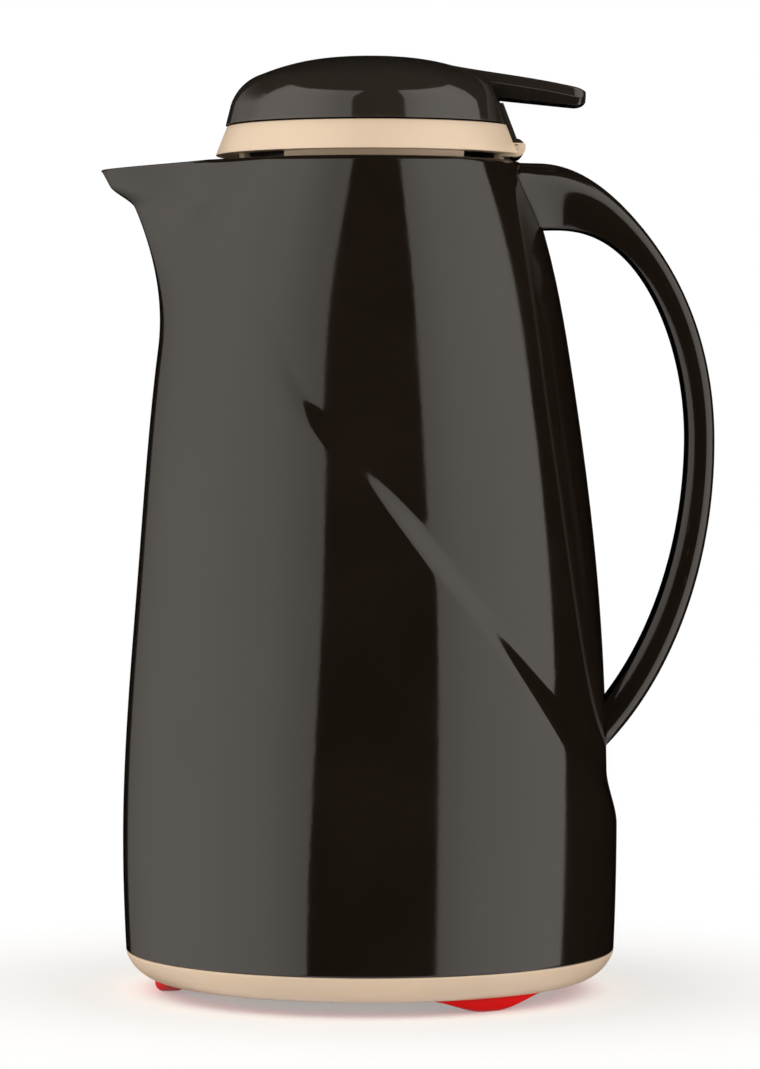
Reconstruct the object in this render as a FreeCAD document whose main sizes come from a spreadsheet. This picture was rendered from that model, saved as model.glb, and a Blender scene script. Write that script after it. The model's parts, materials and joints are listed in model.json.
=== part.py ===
"""Thermal carafe: a vacuum flask in a moulded casing, with a screw-in lid and a hinged, lever-worked cap.

Frame: millimetres, +Z up. The origin is on the flask's axis, on the plane that the three feet stand on.
The spout points to -X and the handle to +X, so the XZ plane is the plane of symmetry.
"""
import FreeCAD
import Part
import math
import os

import Sketcher

os.makedirs("parts", exist_ok=True)

doc = FreeCAD.newDocument("thermal_carafe")
UP = FreeCAD.Vector(0, 0, 1)

# Driving dimensions, in millimetres, degrees or counts
SIZES = {
    # casing
    "foot_height": 4.0,
    "cover_height": 7.4,
    "casing_height": 219.1,
    "casing_wall": 2.2,
    "base_radius": 68.0,
    "belly_radius": 68.9,
    "middle_front": 64.7,
    "middle_back": 66.2,
    "shoulder_front": 59.9,
    "shoulder_back": 59.2,
    "neck_front": 53.9,
    "neck_back": 52.8,
    "rim_radius": 45.0,
    "spout_reach": 27.1,
    "spout_depth": 52.0,
    "spout_lip": 4.2,
    "spout_lip_height": 7.4,
    "spout_lip_blend": 2.6,
    "spout_dip": 1.9,
    "step_depth": 3.1,
    "step_width": 15.5,
    "step_height": 142.3,
    "step_slope": 1.295,
    # handle, along its middle line
    "handle_reach": 92.1,
    "handle_top": 221.0,
    "handle_middle": 153.5,
    "handle_root_x": 47.0,
    "handle_root_sunk": 7.0,
    "handle_foot_x": 22.0,
    "handle_foot_drop": 101.0,
    "handle_root_thick": 18.2,
    "handle_thick": 7.4,
    "handle_foot_thick": 8.8,
    "handle_width": 20.0,
    "handle_round": 2.9,
    # base and feet
    "cover_wall": 2.4,
    "cover_round": 7.0,
    "spigot_height": 5.0,
    "foot_ring_radius": 56.0,
    "foot_ring_width": 8.0,
    "foot_ring_sunk": 1.5,
    "foot_length": 36.0,
    "foot_pad": 6.0,
    # glass flask
    "glass_wall": 1.6,
    "glass_gap": 3.2,
    "glass_radius": 53.5,
    "glass_bottom": 16.0,
    "glass_round": 26.0,
    "glass_shoulder": 150.0,
    "neck_bore": 26.5,
    "mouth_height": 212.0,
    "neck_length": 6.0,
    "buffer_radius": 17.0,
    "buffer_wall": 2.5,
    "buffer_bore": 9.5,
    # collar in the rim
    "gasket_thick": 2.0,
    "gasket_skirt": 5.0,
    "deck_thick": 2.4,
    "sleeve_height": 8.6,
    "sleeve_wall": 2.2,
    "thread_lead": 24.0,
    "thread_starts": 3,
    "thread_span": 40.0,
    "thread_tall": 1.6,
    "thread_room": 0.5,
    # stopper
    "plug_radius": 27.6,
    "plug_wall": 2.4,
    "nose_radius": 23.8,
    "nose_depth": 6.0,
    "seat_bore": 13.0,
    "seal_thick": 2.0,
    "outlet_width": 16.0,
    "outlet_height": 5.6,
    "flange_radius": 33.6,
    "flange_thick": 2.4,
    # lid ring
    "lid_gap": 1.9,
    "ring_height": 8.1,
    "ring_bottom_radius": 43.1,
    "ring_top_radius": 39.9,
    "ring_wall": 2.2,
    "deck_drop": 3.0,
    "lid_deck": 2.5,
    "skirt_radius": 38.6,
    "skirt_wall": 2.0,
    "skirt_depth": 9.0,
    "boss_radius": 8.0,
    "boss_depth": 4.0,
    # hinge
    "hinge_x": 40.5,
    "hinge_height": 3.7,
    "knuckle_radius": 2.6,
    "knuckle_length": 20.0,
    "pin_radius": 0.8,
    "lug_width": 3.4,
    "lug_top": 1.2,
    "notch_room": 1.2,
    # cap
    "cap_gap": 0.4,
    "cap_height": 19.0,
    "cap_radius": 40.3,
    "cap_wall": 2.0,
    "cap_side": 5.6,
    "cap_draft": 1.4,
    "cap_shoulder": 9.8,
    "cap_crown": 4.9,
    "cap_flat": 6.0,
    "cap_back_lean": 0.377,
    "tongue_width": 25.4,
    "liner_thick": 2.0,
    "liner_lift": 0.5,
    "lever_root_x": 16.0,
    "lever_reach": 60.0,
    "lever_width": 30.0,
    "lever_tip_width": 23.0,
    "lever_thick": 2.8,
    "lever_drop": 9.4,
    "lever_slope": 0.2034,
    "lever_hull": 4.6,
    "lever_hull_width": 15.0,
    "boss_x": -4.0,
    "boss_y": 22.0,
    # valve
    "stem_radius": 3.0,
    "stem_head_radius": 6.0,
    "stem_head_thick": 2.5,
    "disc_radius": 17.5,
    "disc_thick": 2.0,
    "hub_radius": 5.0,
    "hub_height": 4.0,
    "clip_thick": 1.0,
    "clip_groove": 0.75,
    "bush_radius": 5.0,
    "bush_flange": 1.2,
    "bush_flange_reach": 1.8,
    "yoke_thick": 2.4,
    "yoke_front": 8.4,
    "yoke_back": 5.6,
    "yoke_end": 3.9,
    "cap_turn": 10.0,
    "wire_radius": 0.6,
    "spring_radius": 6.3,
    "spring_turns": 6,
    # fasteners
    "screw_radius": 1.25,
    "screw_head": 2.6,
    "screw_head_thick": 1.4,
    "screw_length": 6.0,
    # clearances
    "fit": 0.3,
    "seat_fit": 0.1,
    "running_fit": 0.05,
}

sheet = doc.addObject("Spreadsheet::Sheet", "Sizes")
for row, (alias, number) in enumerate(SIZES.items(), start=1):
    sheet.set("A%d" % row, alias)
    sheet.set("B%d" % row, str(number))
    sheet.setAlias("B%d" % row, alias)
doc.recompute()


class Size:
    """A number together with the expression that gives it from the sheet."""

    def __init__(self, value, text):
        self.value = value
        self.text = text

    def join(self, other, sign, value):
        text = other.text if isinstance(other, Size) else repr(other)
        return Size(value, "(%s %s %s)" % (self.text, sign, text))

    def __add__(self, other):
        return self.join(other, "+", self.value + plain(other))

    def __sub__(self, other):
        return self.join(other, "-", self.value - plain(other))

    def __mul__(self, other):
        return self.join(other, "*", self.value * plain(other))

    def __truediv__(self, other):
        return self.join(other, "/", self.value / plain(other))


def plain(number):
    """The plain number of a Size, or of a number."""
    return number.value if isinstance(number, Size) else number


def size(alias):
    return Size(float(SIZES[alias]), "Sizes." + alias)


def bind(target, path, number):
    """Tie one property to the sheet, or set it where it is a plain number."""
    text = number.text if isinstance(number, Size) else repr(float(number))
    target.setExpression(path, text)


# Heights that several pieces share, from the floor up
cover_bottom = size("foot_height")
casing_bottom = cover_bottom + size("cover_height")
rim_height = casing_bottom + size("casing_height")
deck_bottom = size("mouth_height") + size("gasket_thick")
deck_top = deck_bottom + size("deck_thick")
ring_bottom = rim_height + size("lid_gap")
ring_top = ring_bottom + size("ring_height")
lid_deck_top = ring_top - size("deck_drop")
lid_deck_bottom = lid_deck_top - size("lid_deck")
boss_bottom = lid_deck_bottom - size("boss_depth")
flange_bottom = lid_deck_bottom - size("flange_thick")
shoulder_bottom = deck_top + size("gasket_thick") + size("seat_fit") * 2
nose_bottom = size("mouth_height") - size("nose_depth")
seat_height = nose_bottom + size("plug_wall")
seal_bottom = seat_height + size("seat_fit")
disc_bottom = seal_bottom + size("seal_thick")
disc_top = disc_bottom + size("disc_thick")
hinge_z = rim_height + size("hinge_height")
cap_bottom = ring_top + size("cap_gap")
cap_top = cap_bottom + size("cap_height")
liner_bottom = cap_bottom + size("liner_lift")
liner_top = liner_bottom + size("liner_thick")
yoke_top = liner_top + size("yoke_thick")
head_bottom = yoke_top + size("fit") + size("seat_fit")
sleeve_radius = size("plug_radius") + size("thread_tall") + size("thread_room")

NODES = []


def node(label, item):
    """Name a finished sub-part, so that it is checked and written at the end."""
    item.Label = label
    NODES.append(item)
    return item


def place(item, x=0.0, y=0.0, z=0.0):
    bind(item, "Placement.Base.x", x)
    bind(item, "Placement.Base.y", y)
    bind(item, "Placement.Base.z", z)
    return item


def lathe(name, outline):
    """A body turned about Z from (radius, height) corners.

    A corner with a third entry, "via", is a point that an arc passes through between its neighbours.
    """
    body = doc.addObject("PartDesign::Body", name)
    sketch = body.newObject("Sketcher::SketchObject", name + "_outline")
    plane = [item for item in body.Origin.OriginFeatures if item.Role == "XZ_Plane"][0]
    sketch.AttachmentSupport = (plane, "")
    sketch.MapMode = "FlatFace"
    spots = []
    for corner in outline:
        radius, height = corner[0], corner[1]
        spot = FreeCAD.Vector(plain(radius), plain(height), 0)
        mark = sketch.addGeometry(Part.Point(spot), True)
        if spot.x == 0.0:
            sketch.addConstraint(Sketcher.Constraint("PointOnObject", mark, 1, -2))
        else:
            pin_down(sketch, "DistanceX", mark, radius)
        pin_down(sketch, "DistanceY", mark, height)
        spots.append((spot, mark, len(corner) == 3))
    count = len(spots)
    for index, (spot, mark, is_via) in enumerate(spots):
        if is_via:
            continue
        following = spots[(index + 1) % count]
        if following[2]:
            ending = spots[(index + 2) % count]
            left_turn = (following[0] - spot).cross(ending[0] - following[0]).z > 0
            run = (spot, following[0], ending[0])
            edge = sketch.addGeometry(Part.Arc(*(run if left_turn else run[::-1])))
            first, last = (1, 2) if left_turn else (2, 1)
            sketch.addConstraint(Sketcher.Constraint("PointOnObject", following[1], 1, edge))
        else:
            ending = following
            edge = sketch.addGeometry(Part.LineSegment(spot, ending[0]))
            first, last = 1, 2
        sketch.addConstraint(Sketcher.Constraint("Coincident", edge, first, mark, 1))
        sketch.addConstraint(Sketcher.Constraint("Coincident", edge, last, ending[1], 1))
    turned = body.newObject("PartDesign::Revolution", name + "_turned")
    turned.Profile = sketch
    turned.ReferenceAxis = (sketch, ["V_Axis"])
    turned.Angle = 360.0
    return body


def pin_down(sketch, kind, mark, number):
    """Hold a sketch point at a distance from the origin that the sheet gives."""
    index = sketch.addConstraint(Sketcher.Constraint(kind, -1, 1, mark, 1, plain(number)))
    if isinstance(number, Size):
        sketch.setExpression("Constraints[%d]" % index, number.text)


def cylinder(name, radius, height, x=0.0, y=0.0, z=0.0):
    item = doc.addObject("Part::Cylinder", name)
    bind(item, "Radius", radius)
    bind(item, "Height", height)
    return place(item, x, y, z)


def block(name, low, high):
    """A box from its lowest to its highest corner."""
    item = doc.addObject("Part::Box", name)
    for path, start, end in zip(("Length", "Width", "Height"), low, high):
        bind(item, path, as_size(end) - start)
    return place(item, *low)


def as_size(number):
    return number if isinstance(number, Size) else Size(float(number), repr(float(number)))


def negative(number):
    return as_size(0.0) - number


def cut(name, base, *tools):
    item = doc.addObject("Part::Cut", name)
    item.Base = base
    item.Tool = tools[0] if len(tools) == 1 else fuse(name + "_tools", *tools)
    return item


def fuse(name, *shapes):
    item = doc.addObject("Part::MultiFuse", name)
    item.Shapes = list(shapes)
    return item


def common(name, *shapes):
    item = doc.addObject("Part::MultiCommon", name)
    item.Shapes = list(shapes)
    return item


def feature(name, shape):
    """A free-form piece, whose shape is worked out from the sheet's numbers."""
    item = doc.addObject("Part::Feature", name)
    item.Shape = shape
    return item


# Casing form: one radius for every angle from the handle and every height

FORM_SHARES = (0.0, 0.15, 0.48, 0.735, 0.888, 1.0)
FRONT_RADII = ("base_radius", "belly_radius", "middle_front", "shoulder_front", "neck_front", "rim_radius")
BACK_RADII = ("base_radius", "belly_radius", "middle_back", "shoulder_back", "neck_back", "rim_radius")
CASING_POINTS = 120
STEP_ROWS = (0.0, 0.08, 0.2, 0.36, 0.55, 0.77, 1.0)
LOW_ROWS = (0.0, 0.06, 0.13, 0.2, 0.28, 0.37, 0.46, 0.56, 0.66, 0.76, 0.86, 0.94)
HIGH_ROWS = (0.1, 0.22, 0.34, 0.46, 0.58, 0.69, 0.8, 0.9, 1.0)
LIP_ROWS = (2.0, 1.55, 1.25, 1.1, 1.0, 0.9, 0.75, 0.45, 0.2, 0.0)
STEP_START_X = -28.0
STEP_START_SOFT = 4.0
STEP_FADE_ANGLE = 118.0
STEP_FADE_SPAN = 45.0
SPOUT_ANGLE = 65.0
SPOUT_TIP_ANGLE = 11.0
SPOUT_FOOT_ANGLE = 24.0
SPOUT_LIP_START = 1.2


def meridian(aliases):
    """A smooth radius over the casing's height, through the named radii."""
    start = casing_bottom.value
    curve = Part.BSplineCurve()
    curve.interpolate(
        Points=[FreeCAD.Vector(SIZES[alias], 0, 0) for alias in aliases],
        Parameters=[start + share * SIZES["casing_height"] for share in FORM_SHARES],
    )
    return lambda height: curve.value(min(max(height, start), rim_height.value)).x


front_radius = meridian(FRONT_RADII)
back_radius = meridian(BACK_RADII)


def ease(share):
    """A smooth run from 0 to 1."""
    share = min(max(share, 0.0), 1.0)
    return share * share * (3.0 - 2.0 * share)


def plain_radius(angle, height):
    """The casing's radius without its spout and step; the angle is in degrees from the handle."""
    spoutward = (1.0 - math.cos(math.radians(angle))) / 2.0
    return back_radius(height) * (1.0 - spoutward) + front_radius(height) * spoutward


def step_line(angle):
    """The height of the slanted step's lower edge at an angle."""
    height = SIZES["step_height"]
    for _ in range(8):
        across = plain_radius(angle, height) * math.cos(math.radians(angle))
        past_start = (across - STEP_START_X) / STEP_START_SOFT
        across = STEP_START_X + STEP_START_SOFT * math.log1p(math.exp(past_start))
        height = SIZES["step_height"] - SIZES["step_slope"] * across
    return height


def step_fall(angle, height):
    """How far the casing is set back above the slanted step."""
    share = min(max((height - step_line(angle)) / SIZES["step_width"], 0.0), 1.0)
    fade = ease((STEP_FADE_ANGLE - angle) / STEP_FADE_SPAN)
    return SIZES["step_depth"] * fade * (1.0 - (1.0 - share) ** 2)


def spout_swell(angle, height, with_lip):
    """How far the pinched spout stands out."""
    drop = max(rim_height.value - height, 0.0)
    below = drop / SIZES["spout_depth"]
    aside = 180.0 - angle
    if below >= 1.0 or aside >= SPOUT_ANGLE:
        return 0.0
    narrow = SPOUT_TIP_ANGLE + (SPOUT_FOOT_ANGLE - SPOUT_TIP_ANGLE) * below
    bell = math.cos(math.radians(90.0 * aside / SPOUT_ANGLE)) ** 2 / (1.0 + (aside / narrow) ** 2)
    swell = SIZES["spout_reach"] * (1.0 - below) ** 2
    if with_lip:
        lip_foot = SPOUT_LIP_START * SIZES["spout_lip_height"]
        swell += SIZES["spout_lip"] * ease((lip_foot - drop) / SIZES["spout_lip_blend"])
    return swell * bell


def casing_point(turn, height, inset, with_lip):
    angle = min(turn, 360.0 - turn)
    radius = plain_radius(angle, height) + spout_swell(angle, height, with_lip) - step_fall(angle, height)
    direction = math.radians(turn)
    reach = radius - inset
    return FreeCAD.Vector(reach * math.cos(direction), reach * math.sin(direction), height)


def casing_wire(height_at, inset, with_lip=True):
    """A closed smooth line round the casing; height_at gives its height at each angle."""
    turns = [360.0 * step / CASING_POINTS for step in range(CASING_POINTS)]
    curve = Part.BSplineCurve()
    curve.interpolate(
        Points=[casing_point(turn, height_at(min(turn, 360.0 - turn)), inset, with_lip) for turn in turns],
        PeriodicFlag=True,
        Parameters=[step / CASING_POINTS for step in range(CASING_POINTS + 1)],
    )
    return Part.Wire([curve.toShape()])


def casing_rows():
    """Height functions from the foot to the rim, closest along the step and at the spout's lip."""
    foot = casing_bottom.value
    lip_foot = rim_height.value - LIP_ROWS[0] * SIZES["spout_lip_height"]
    tall = SIZES["step_width"]
    rows = []
    for share in LOW_ROWS:
        rows.append(lambda angle, share=share: foot + share * (step_line(angle) - foot))
    for share in STEP_ROWS:
        rows.append(lambda angle, share=share: step_line(angle) + share * tall)
    for share in HIGH_ROWS:
        rows.append(lambda angle, share=share: (step_line(angle) + tall) * (1 - share) + lip_foot * share)
    for share in LIP_ROWS[1:]:
        rows.append(lambda angle, share=share: rim_height.value - share * SIZES["spout_lip_height"])
    return rows


def casing_form(inset, overrun=0.0, with_lip=True):
    """The casing's form as one solid, drawn in by the inset and run past both ends by the overrun."""
    rows = casing_rows()
    wires = [casing_wire(row, inset, with_lip) for row in rows]
    if overrun:
        foot = casing_bottom.value - overrun
        head = rim_height.value + overrun
        wires.insert(0, casing_wire(lambda angle: foot, inset, with_lip))
        wires.append(casing_wire(lambda angle: head, inset, with_lip))
    return Part.makeLoft(wires, True, True)


OVERRUN = 1.0
FAR = 40.0


def turned_about_z(shape, degrees):
    copy = shape.copy()
    copy.rotate(FreeCAD.Vector(0, 0, 0), UP, degrees)
    return copy


def side_prism(corners, half_width):
    """A prism whose outline lies in the XZ plane, as wide on both sides of it."""
    points = [FreeCAD.Vector(x, -half_width, z) for x, z in corners]
    return Part.Face(Part.makePolygon(points + points[:1])).extrude(FreeCAD.Vector(0, 2 * half_width, 0))


def x_cylinder(name, radius, start, end, z):
    """A cylinder along X in the plane of symmetry."""
    item = cylinder(name, radius, as_size(end) - start, start, 0.0, z)
    item.Placement.Rotation = FreeCAD.Rotation(FreeCAD.Vector(0, 1, 0), 90)
    return item


def y_cylinder(name, radius, length, x, z):
    """A cylinder along Y, with its middle in the plane of symmetry."""
    item = cylinder(name, radius, length, x, as_size(length) / 2, z)
    item.Placement.Rotation = FreeCAD.Rotation(FreeCAD.Vector(1, 0, 0), 90)
    return item


# Casing shell and handle

casing_outer = feature("casing_outer", casing_form(0.0))
casing_hollow = feature("casing_hollow", casing_form(SIZES["casing_wall"], OVERRUN, with_lip=False))

SCREW_HEIGHT_SHARE = 0.77
handle_screw_z = size("handle_middle") - size("handle_foot_drop") * SCREW_HEIGHT_SHARE


def head_seat(height):
    """Where a flat screw head along X stops short of the casing's curved inside."""
    head = SIZES["screw_head"]
    aside = math.degrees(math.asin(head / SIZES["neck_back"]))
    spots = [(turn, height + up) for turn in (0.0, aside) for up in (-head, 0.0, head)]
    nearest = min(casing_point(turn, spot, SIZES["casing_wall"], False).x for turn, spot in spots)
    return nearest - SIZES["seat_fit"]


screw_seat_x = head_seat(handle_screw_z.value)


def spout_slope():
    """The slab that is cut off the rim, so that it dips towards the spout's tip."""
    reach = SIZES["spout_reach"] + SIZES["spout_lip"]
    slab = Part.makeBox(2 * reach, 4 * reach, reach, FreeCAD.Vector(-2 * reach, -2 * reach, 0))
    slab.rotate(FreeCAD.Vector(0, 0, 0), FreeCAD.Vector(0, 1, 0),
                -math.degrees(math.atan2(SIZES["spout_dip"], reach)))
    slab.translate(FreeCAD.Vector(-SIZES["rim_radius"], 0, rim_height.value))
    return slab


HANDLE_TOP_ANGLES = range(0, 95, 5)
HANDLE_LOW_ANGLES = range(5, 65, 5)
ROOT_SWELL = 10
THIN_CORNER = 0.45


def handle_section(x, z, lean, thick):
    """A rounded oblong across the handle's middle line, which runs at the lean angle in the XZ plane."""
    half_thick = thick / 2.0
    half_width = SIZES["handle_width"] / 2.0
    corner = min(SIZES["handle_round"], THIN_CORNER * thick)
    middle = corner * (1.0 - math.sqrt(0.5))
    edges = []
    ring = []
    for side_a, side_b in ((1, 1), (-1, 1), (-1, -1), (1, -1)):
        spots = [
            (side_a * half_thick, side_b * (half_width - corner)),
            (side_a * (half_thick - middle), side_b * (half_width - middle)),
            (side_a * (half_thick - corner), side_b * half_width),
        ]
        ring.append(spots if side_a * side_b > 0 else spots[::-1])
    across = FreeCAD.Vector(-math.sin(lean), 0, math.cos(lean))
    centre = FreeCAD.Vector(x, 0, z)
    ring = [[centre + across * out + FreeCAD.Vector(0, aside, 0) for out, aside in spots] for spots in ring]
    for index, spots in enumerate(ring):
        edges.append(Part.Arc(*spots).toShape())
        edges.append(Part.LineSegment(spots[2], ring[(index + 1) % 4][0]).toShape())
    return Part.Wire(edges)


def handle_form():
    """The loop handle: two quarter ellipses that meet where it reaches furthest."""
    reach = SIZES["handle_reach"]
    middle = SIZES["handle_middle"]
    top_wide = reach - SIZES["handle_root_x"]
    top_tall = SIZES["handle_top"] - middle
    low_wide = reach - SIZES["handle_foot_x"]
    low_tall = SIZES["handle_foot_drop"]
    thick = SIZES["handle_thick"]
    root = SIZES["handle_root_x"] - SIZES["handle_root_sunk"]
    wires = [handle_section(root, SIZES["handle_top"], 0.0, SIZES["handle_root_thick"])]
    for degrees in HANDLE_TOP_ANGLES:
        angle = math.radians(degrees)
        lean = math.atan2(-top_tall * math.sin(angle), top_wide * math.cos(angle))
        swell = (SIZES["handle_root_thick"] - thick) * math.cos(angle) ** ROOT_SWELL
        wires.append(handle_section(SIZES["handle_root_x"] + top_wide * math.sin(angle),
                                    middle + top_tall * math.cos(angle), lean, thick + swell))
    for degrees in HANDLE_LOW_ANGLES:
        angle = math.radians(degrees)
        lean = math.atan2(-low_tall * math.cos(angle), -low_wide * math.sin(angle))
        swell = (SIZES["handle_foot_thick"] - thick) * math.sin(angle)
        wires.append(handle_section(SIZES["handle_foot_x"] + low_wide * math.cos(angle),
                                    middle - low_tall * math.sin(angle), lean, thick + swell))
    return Part.makeLoft(wires, True, True)


screw_hole = x_cylinder("handle_screw_hole", size("screw_radius") + size("fit"),
                        screw_seat_x - OVERRUN, screw_seat_x + 3 * SIZES["casing_wall"], handle_screw_z)
spout_cutter = feature("spout_cutter", spout_slope())
node("casing_shell", cut("casing_cut", casing_outer, casing_hollow, spout_cutter, screw_hole))

handle_raw = feature("handle_raw", handle_form())
handle_bore = x_cylinder("handle_bore", size("screw_radius") + size("running_fit"),
                         screw_seat_x, size("screw_length") + screw_seat_x + size("fit"), handle_screw_z)
node("handle", cut("handle_cut", handle_raw, casing_outer, handle_bore))

handle_shank = x_cylinder("handle_shank", size("screw_radius"),
                          screw_seat_x, size("screw_length") + screw_seat_x, handle_screw_z)
handle_head = x_cylinder("handle_head", size("screw_head"),
                         as_size(screw_seat_x) - size("screw_head_thick"), screw_seat_x, handle_screw_z)
node("handle_screw", fuse("handle_screw_whole", handle_shank, handle_head))

# Base cover, feet and the flask's buffer

ring_inner = size("foot_ring_radius") - size("foot_ring_width") / 2
ring_outer = size("foot_ring_radius") + size("foot_ring_width") / 2
groove_top = cover_bottom + size("foot_ring_sunk")
floor_top = groove_top + size("cover_wall")
spigot_radius = size("base_radius") - size("casing_wall") - size("fit")
spigot_inner = spigot_radius - size("cover_wall")
buffer_seat = size("buffer_radius") + size("fit")
COVER_ROUND_OUT = 0.43
COVER_ROUND_UP = 0.32
node("base_cover", lathe("base_cover_body", [
    (0.0, cover_bottom),
    (ring_inner - size("fit"), cover_bottom),
    (ring_inner - size("fit"), groove_top),
    (ring_outer + size("fit"), groove_top),
    (ring_outer + size("fit"), cover_bottom),
    (size("base_radius") - size("cover_round"), cover_bottom),
    (size("base_radius") - size("cover_round") * COVER_ROUND_OUT,
     cover_bottom + size("cover_height") * COVER_ROUND_UP, "via"),
    (size("base_radius"), casing_bottom),
    (spigot_radius, casing_bottom),
    (spigot_radius, casing_bottom + size("spigot_height")),
    (spigot_inner, casing_bottom + size("spigot_height")),
    (spigot_inner, floor_top),
    (buffer_seat + size("cover_wall"), floor_top),
    (buffer_seat + size("cover_wall"), floor_top + size("cover_wall")),
    (buffer_seat, floor_top + size("cover_wall")),
    (buffer_seat, floor_top),
    (0.0, floor_top),
]))


def foot_lobe():
    """One foot: a flat pad that swings up into the ring in two S-shaped runs of tangent arcs."""
    tall = SIZES["foot_height"]
    half_pad = SIZES["foot_pad"] / 2.0
    run = (SIZES["foot_length"] / 2.0 - half_pad) / 2.0
    radius = (run ** 2 + (tall / 2.0) ** 2) / tall
    half_turn = math.asin(run / radius) / 2.0
    aside = radius * math.sin(half_turn)
    rise = radius * (1.0 - math.cos(half_turn))

    def spot(y, z):
        return FreeCAD.Vector(0, y, z)

    edges = []
    for side in (1, -1):
        pad = spot(side * half_pad, 0)
        bend = spot(side * (half_pad + run), tall / 2.0)
        top = spot(side * (half_pad + 2 * run), tall)
        edges.append(Part.Arc(pad, spot(side * (half_pad + aside), rise), bend).toShape())
        edges.append(Part.Arc(bend, spot(side * (half_pad + 2 * run - aside), tall - rise), top).toShape())
    edges.append(Part.LineSegment(spot(-half_pad, 0), spot(half_pad, 0)).toShape())
    edges.append(Part.LineSegment(spot(-half_pad - 2 * run, tall), spot(half_pad + 2 * run, tall)).toShape())
    face = Part.Face(Part.Wire(Part.__sortEdges__(edges)))
    return face.extrude(FreeCAD.Vector(2 * SIZES["foot_ring_radius"], 0, 0))


FOOT_ANGLES = (64, 184, 304)
turned_lobes = [turned_about_z(foot_lobe(), turn) for turn in FOOT_ANGLES]
foot_lobes = feature("foot_lobes", Part.makeCompound(turned_lobes))
foot_outer = cylinder("foot_outer", ring_outer, groove_top)
foot_inner = cylinder("foot_inner", ring_inner, groove_top)
foot_tube = cut("foot_tube", foot_outer, foot_inner)
foot_band_outer = cylinder("foot_band_outer", ring_outer, size("foot_ring_sunk"), z=cover_bottom)
foot_band_inner = cylinder("foot_band_inner", ring_inner, size("foot_ring_sunk"), z=cover_bottom)
foot_band = cut("foot_band", foot_band_outer, foot_band_inner)
node("foot_ring", fuse("foot_ring_whole", foot_band, common("foot_pads", foot_tube, foot_lobes)))

node("refill_buffer", lathe("refill_buffer_body", [
    (size("buffer_bore"), floor_top),
    (size("buffer_radius"), floor_top),
    (size("buffer_radius"), size("glass_bottom")),
    (size("buffer_radius") - size("buffer_wall"), size("glass_bottom")),
    (size("buffer_bore"), floor_top + size("buffer_wall")),
]))

# Glass flask: an inner and an outer bottle, which meet at the mouth

glass_radius = SIZES["glass_radius"]
glass_bottom = SIZES["glass_bottom"]
glass_wall = SIZES["glass_wall"]
void_depth = glass_wall + SIZES["glass_gap"]
inner_depth = void_depth + glass_wall
neck_outer = SIZES["neck_bore"] + 2 * glass_wall
neck_foot = SIZES["mouth_height"] - SIZES["neck_length"]
shoulder_rise = neck_foot - SIZES["glass_shoulder"]
shoulder_draw = glass_radius - neck_outer
shoulder_sweep = (shoulder_draw ** 2 + shoulder_rise ** 2) / (2 * shoulder_draw)


def flask_line(depth, end_radius):
    """Corners of one glass surface, from the axis up to the neck, set in by a depth from the outside."""
    corner = SIZES["glass_round"] - depth
    side = glass_radius - depth
    low = glass_bottom + depth
    diagonal = corner * math.sqrt(0.5)
    sweep = shoulder_sweep - depth
    centre = glass_radius - shoulder_sweep
    turn = math.acos((end_radius - centre) / sweep)
    return [
        (0.0, low),
        (side - corner, low),
        (side - corner + diagonal, low + corner - diagonal, "via"),
        (side, low + corner),
        (side, SIZES["glass_shoulder"]),
        (centre + sweep * math.cos(turn / 2), SIZES["glass_shoulder"] + sweep * math.sin(turn / 2), "via"),
        (end_radius, SIZES["glass_shoulder"] + sweep * math.sin(turn)),
    ]


neck_meeting = SIZES["neck_bore"] + glass_wall
inner_neck = neck_meeting - SIZES["seat_fit"]


def bottle(name, outside, outside_neck, inside, inside_neck):
    """One bottle between two glass surfaces, each given by its depth and its radius at the neck."""
    outline = flask_line(outside, outside_neck)
    outline += [(outside_neck, SIZES["mouth_height"]), (inside_neck, SIZES["mouth_height"])]
    return lathe(name, outline + flask_line(inside, inside_neck)[::-1])


node("flask_outer", bottle("flask_outer_body", 0.0, neck_outer, glass_wall, neck_meeting))
node("flask_inner", bottle("flask_inner_body", void_depth, inner_neck, inner_depth, SIZES["neck_bore"]))

# Collar in the rim, with its gasket and thread

THREAD_BITE = 0.8
gasket_inner = size("neck_bore") + size("fit")
gasket_bore = size("neck_bore") + size("glass_wall") * 2 + size("fit")
gasket_outer = gasket_bore + size("gasket_thick")
node("neck_gasket", lathe("neck_gasket_body", [
    (gasket_inner, size("mouth_height")),
    (gasket_bore, size("mouth_height")),
    (gasket_bore, size("mouth_height") - size("gasket_skirt")),
    (gasket_outer, size("mouth_height") - size("gasket_skirt")),
    (gasket_outer, deck_bottom),
    (gasket_inner, deck_bottom),
]))


def thread_rib(inner, outer, start, turn):
    """One start of the coarse thread, as a rib that climbs about Z."""
    tall = SIZES["thread_tall"]
    corners = [(inner, -tall / 2), (outer, -tall / 2), (outer, tall / 2), (inner, tall / 2)]
    points = [FreeCAD.Vector(radius, 0, height) for radius, height in corners]
    climb = SIZES["thread_lead"] * SIZES["thread_span"] / 360.0
    path = Part.makeHelix(SIZES["thread_lead"], climb, (inner + outer) / 2.0)
    rib = Part.Wire(path.Edges).makePipeShell([Part.makePolygon(points + points[:1])], True, True)
    rib.translate(FreeCAD.Vector(0, 0, start))
    return turned_about_z(rib, turn)


def thread(inner, outer, start):
    starts = int(SIZES["thread_starts"])
    ribs = [thread_rib(inner, outer, start, 360.0 * index / starts) for index in range(starts)]
    return Part.makeCompound(ribs)


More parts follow.
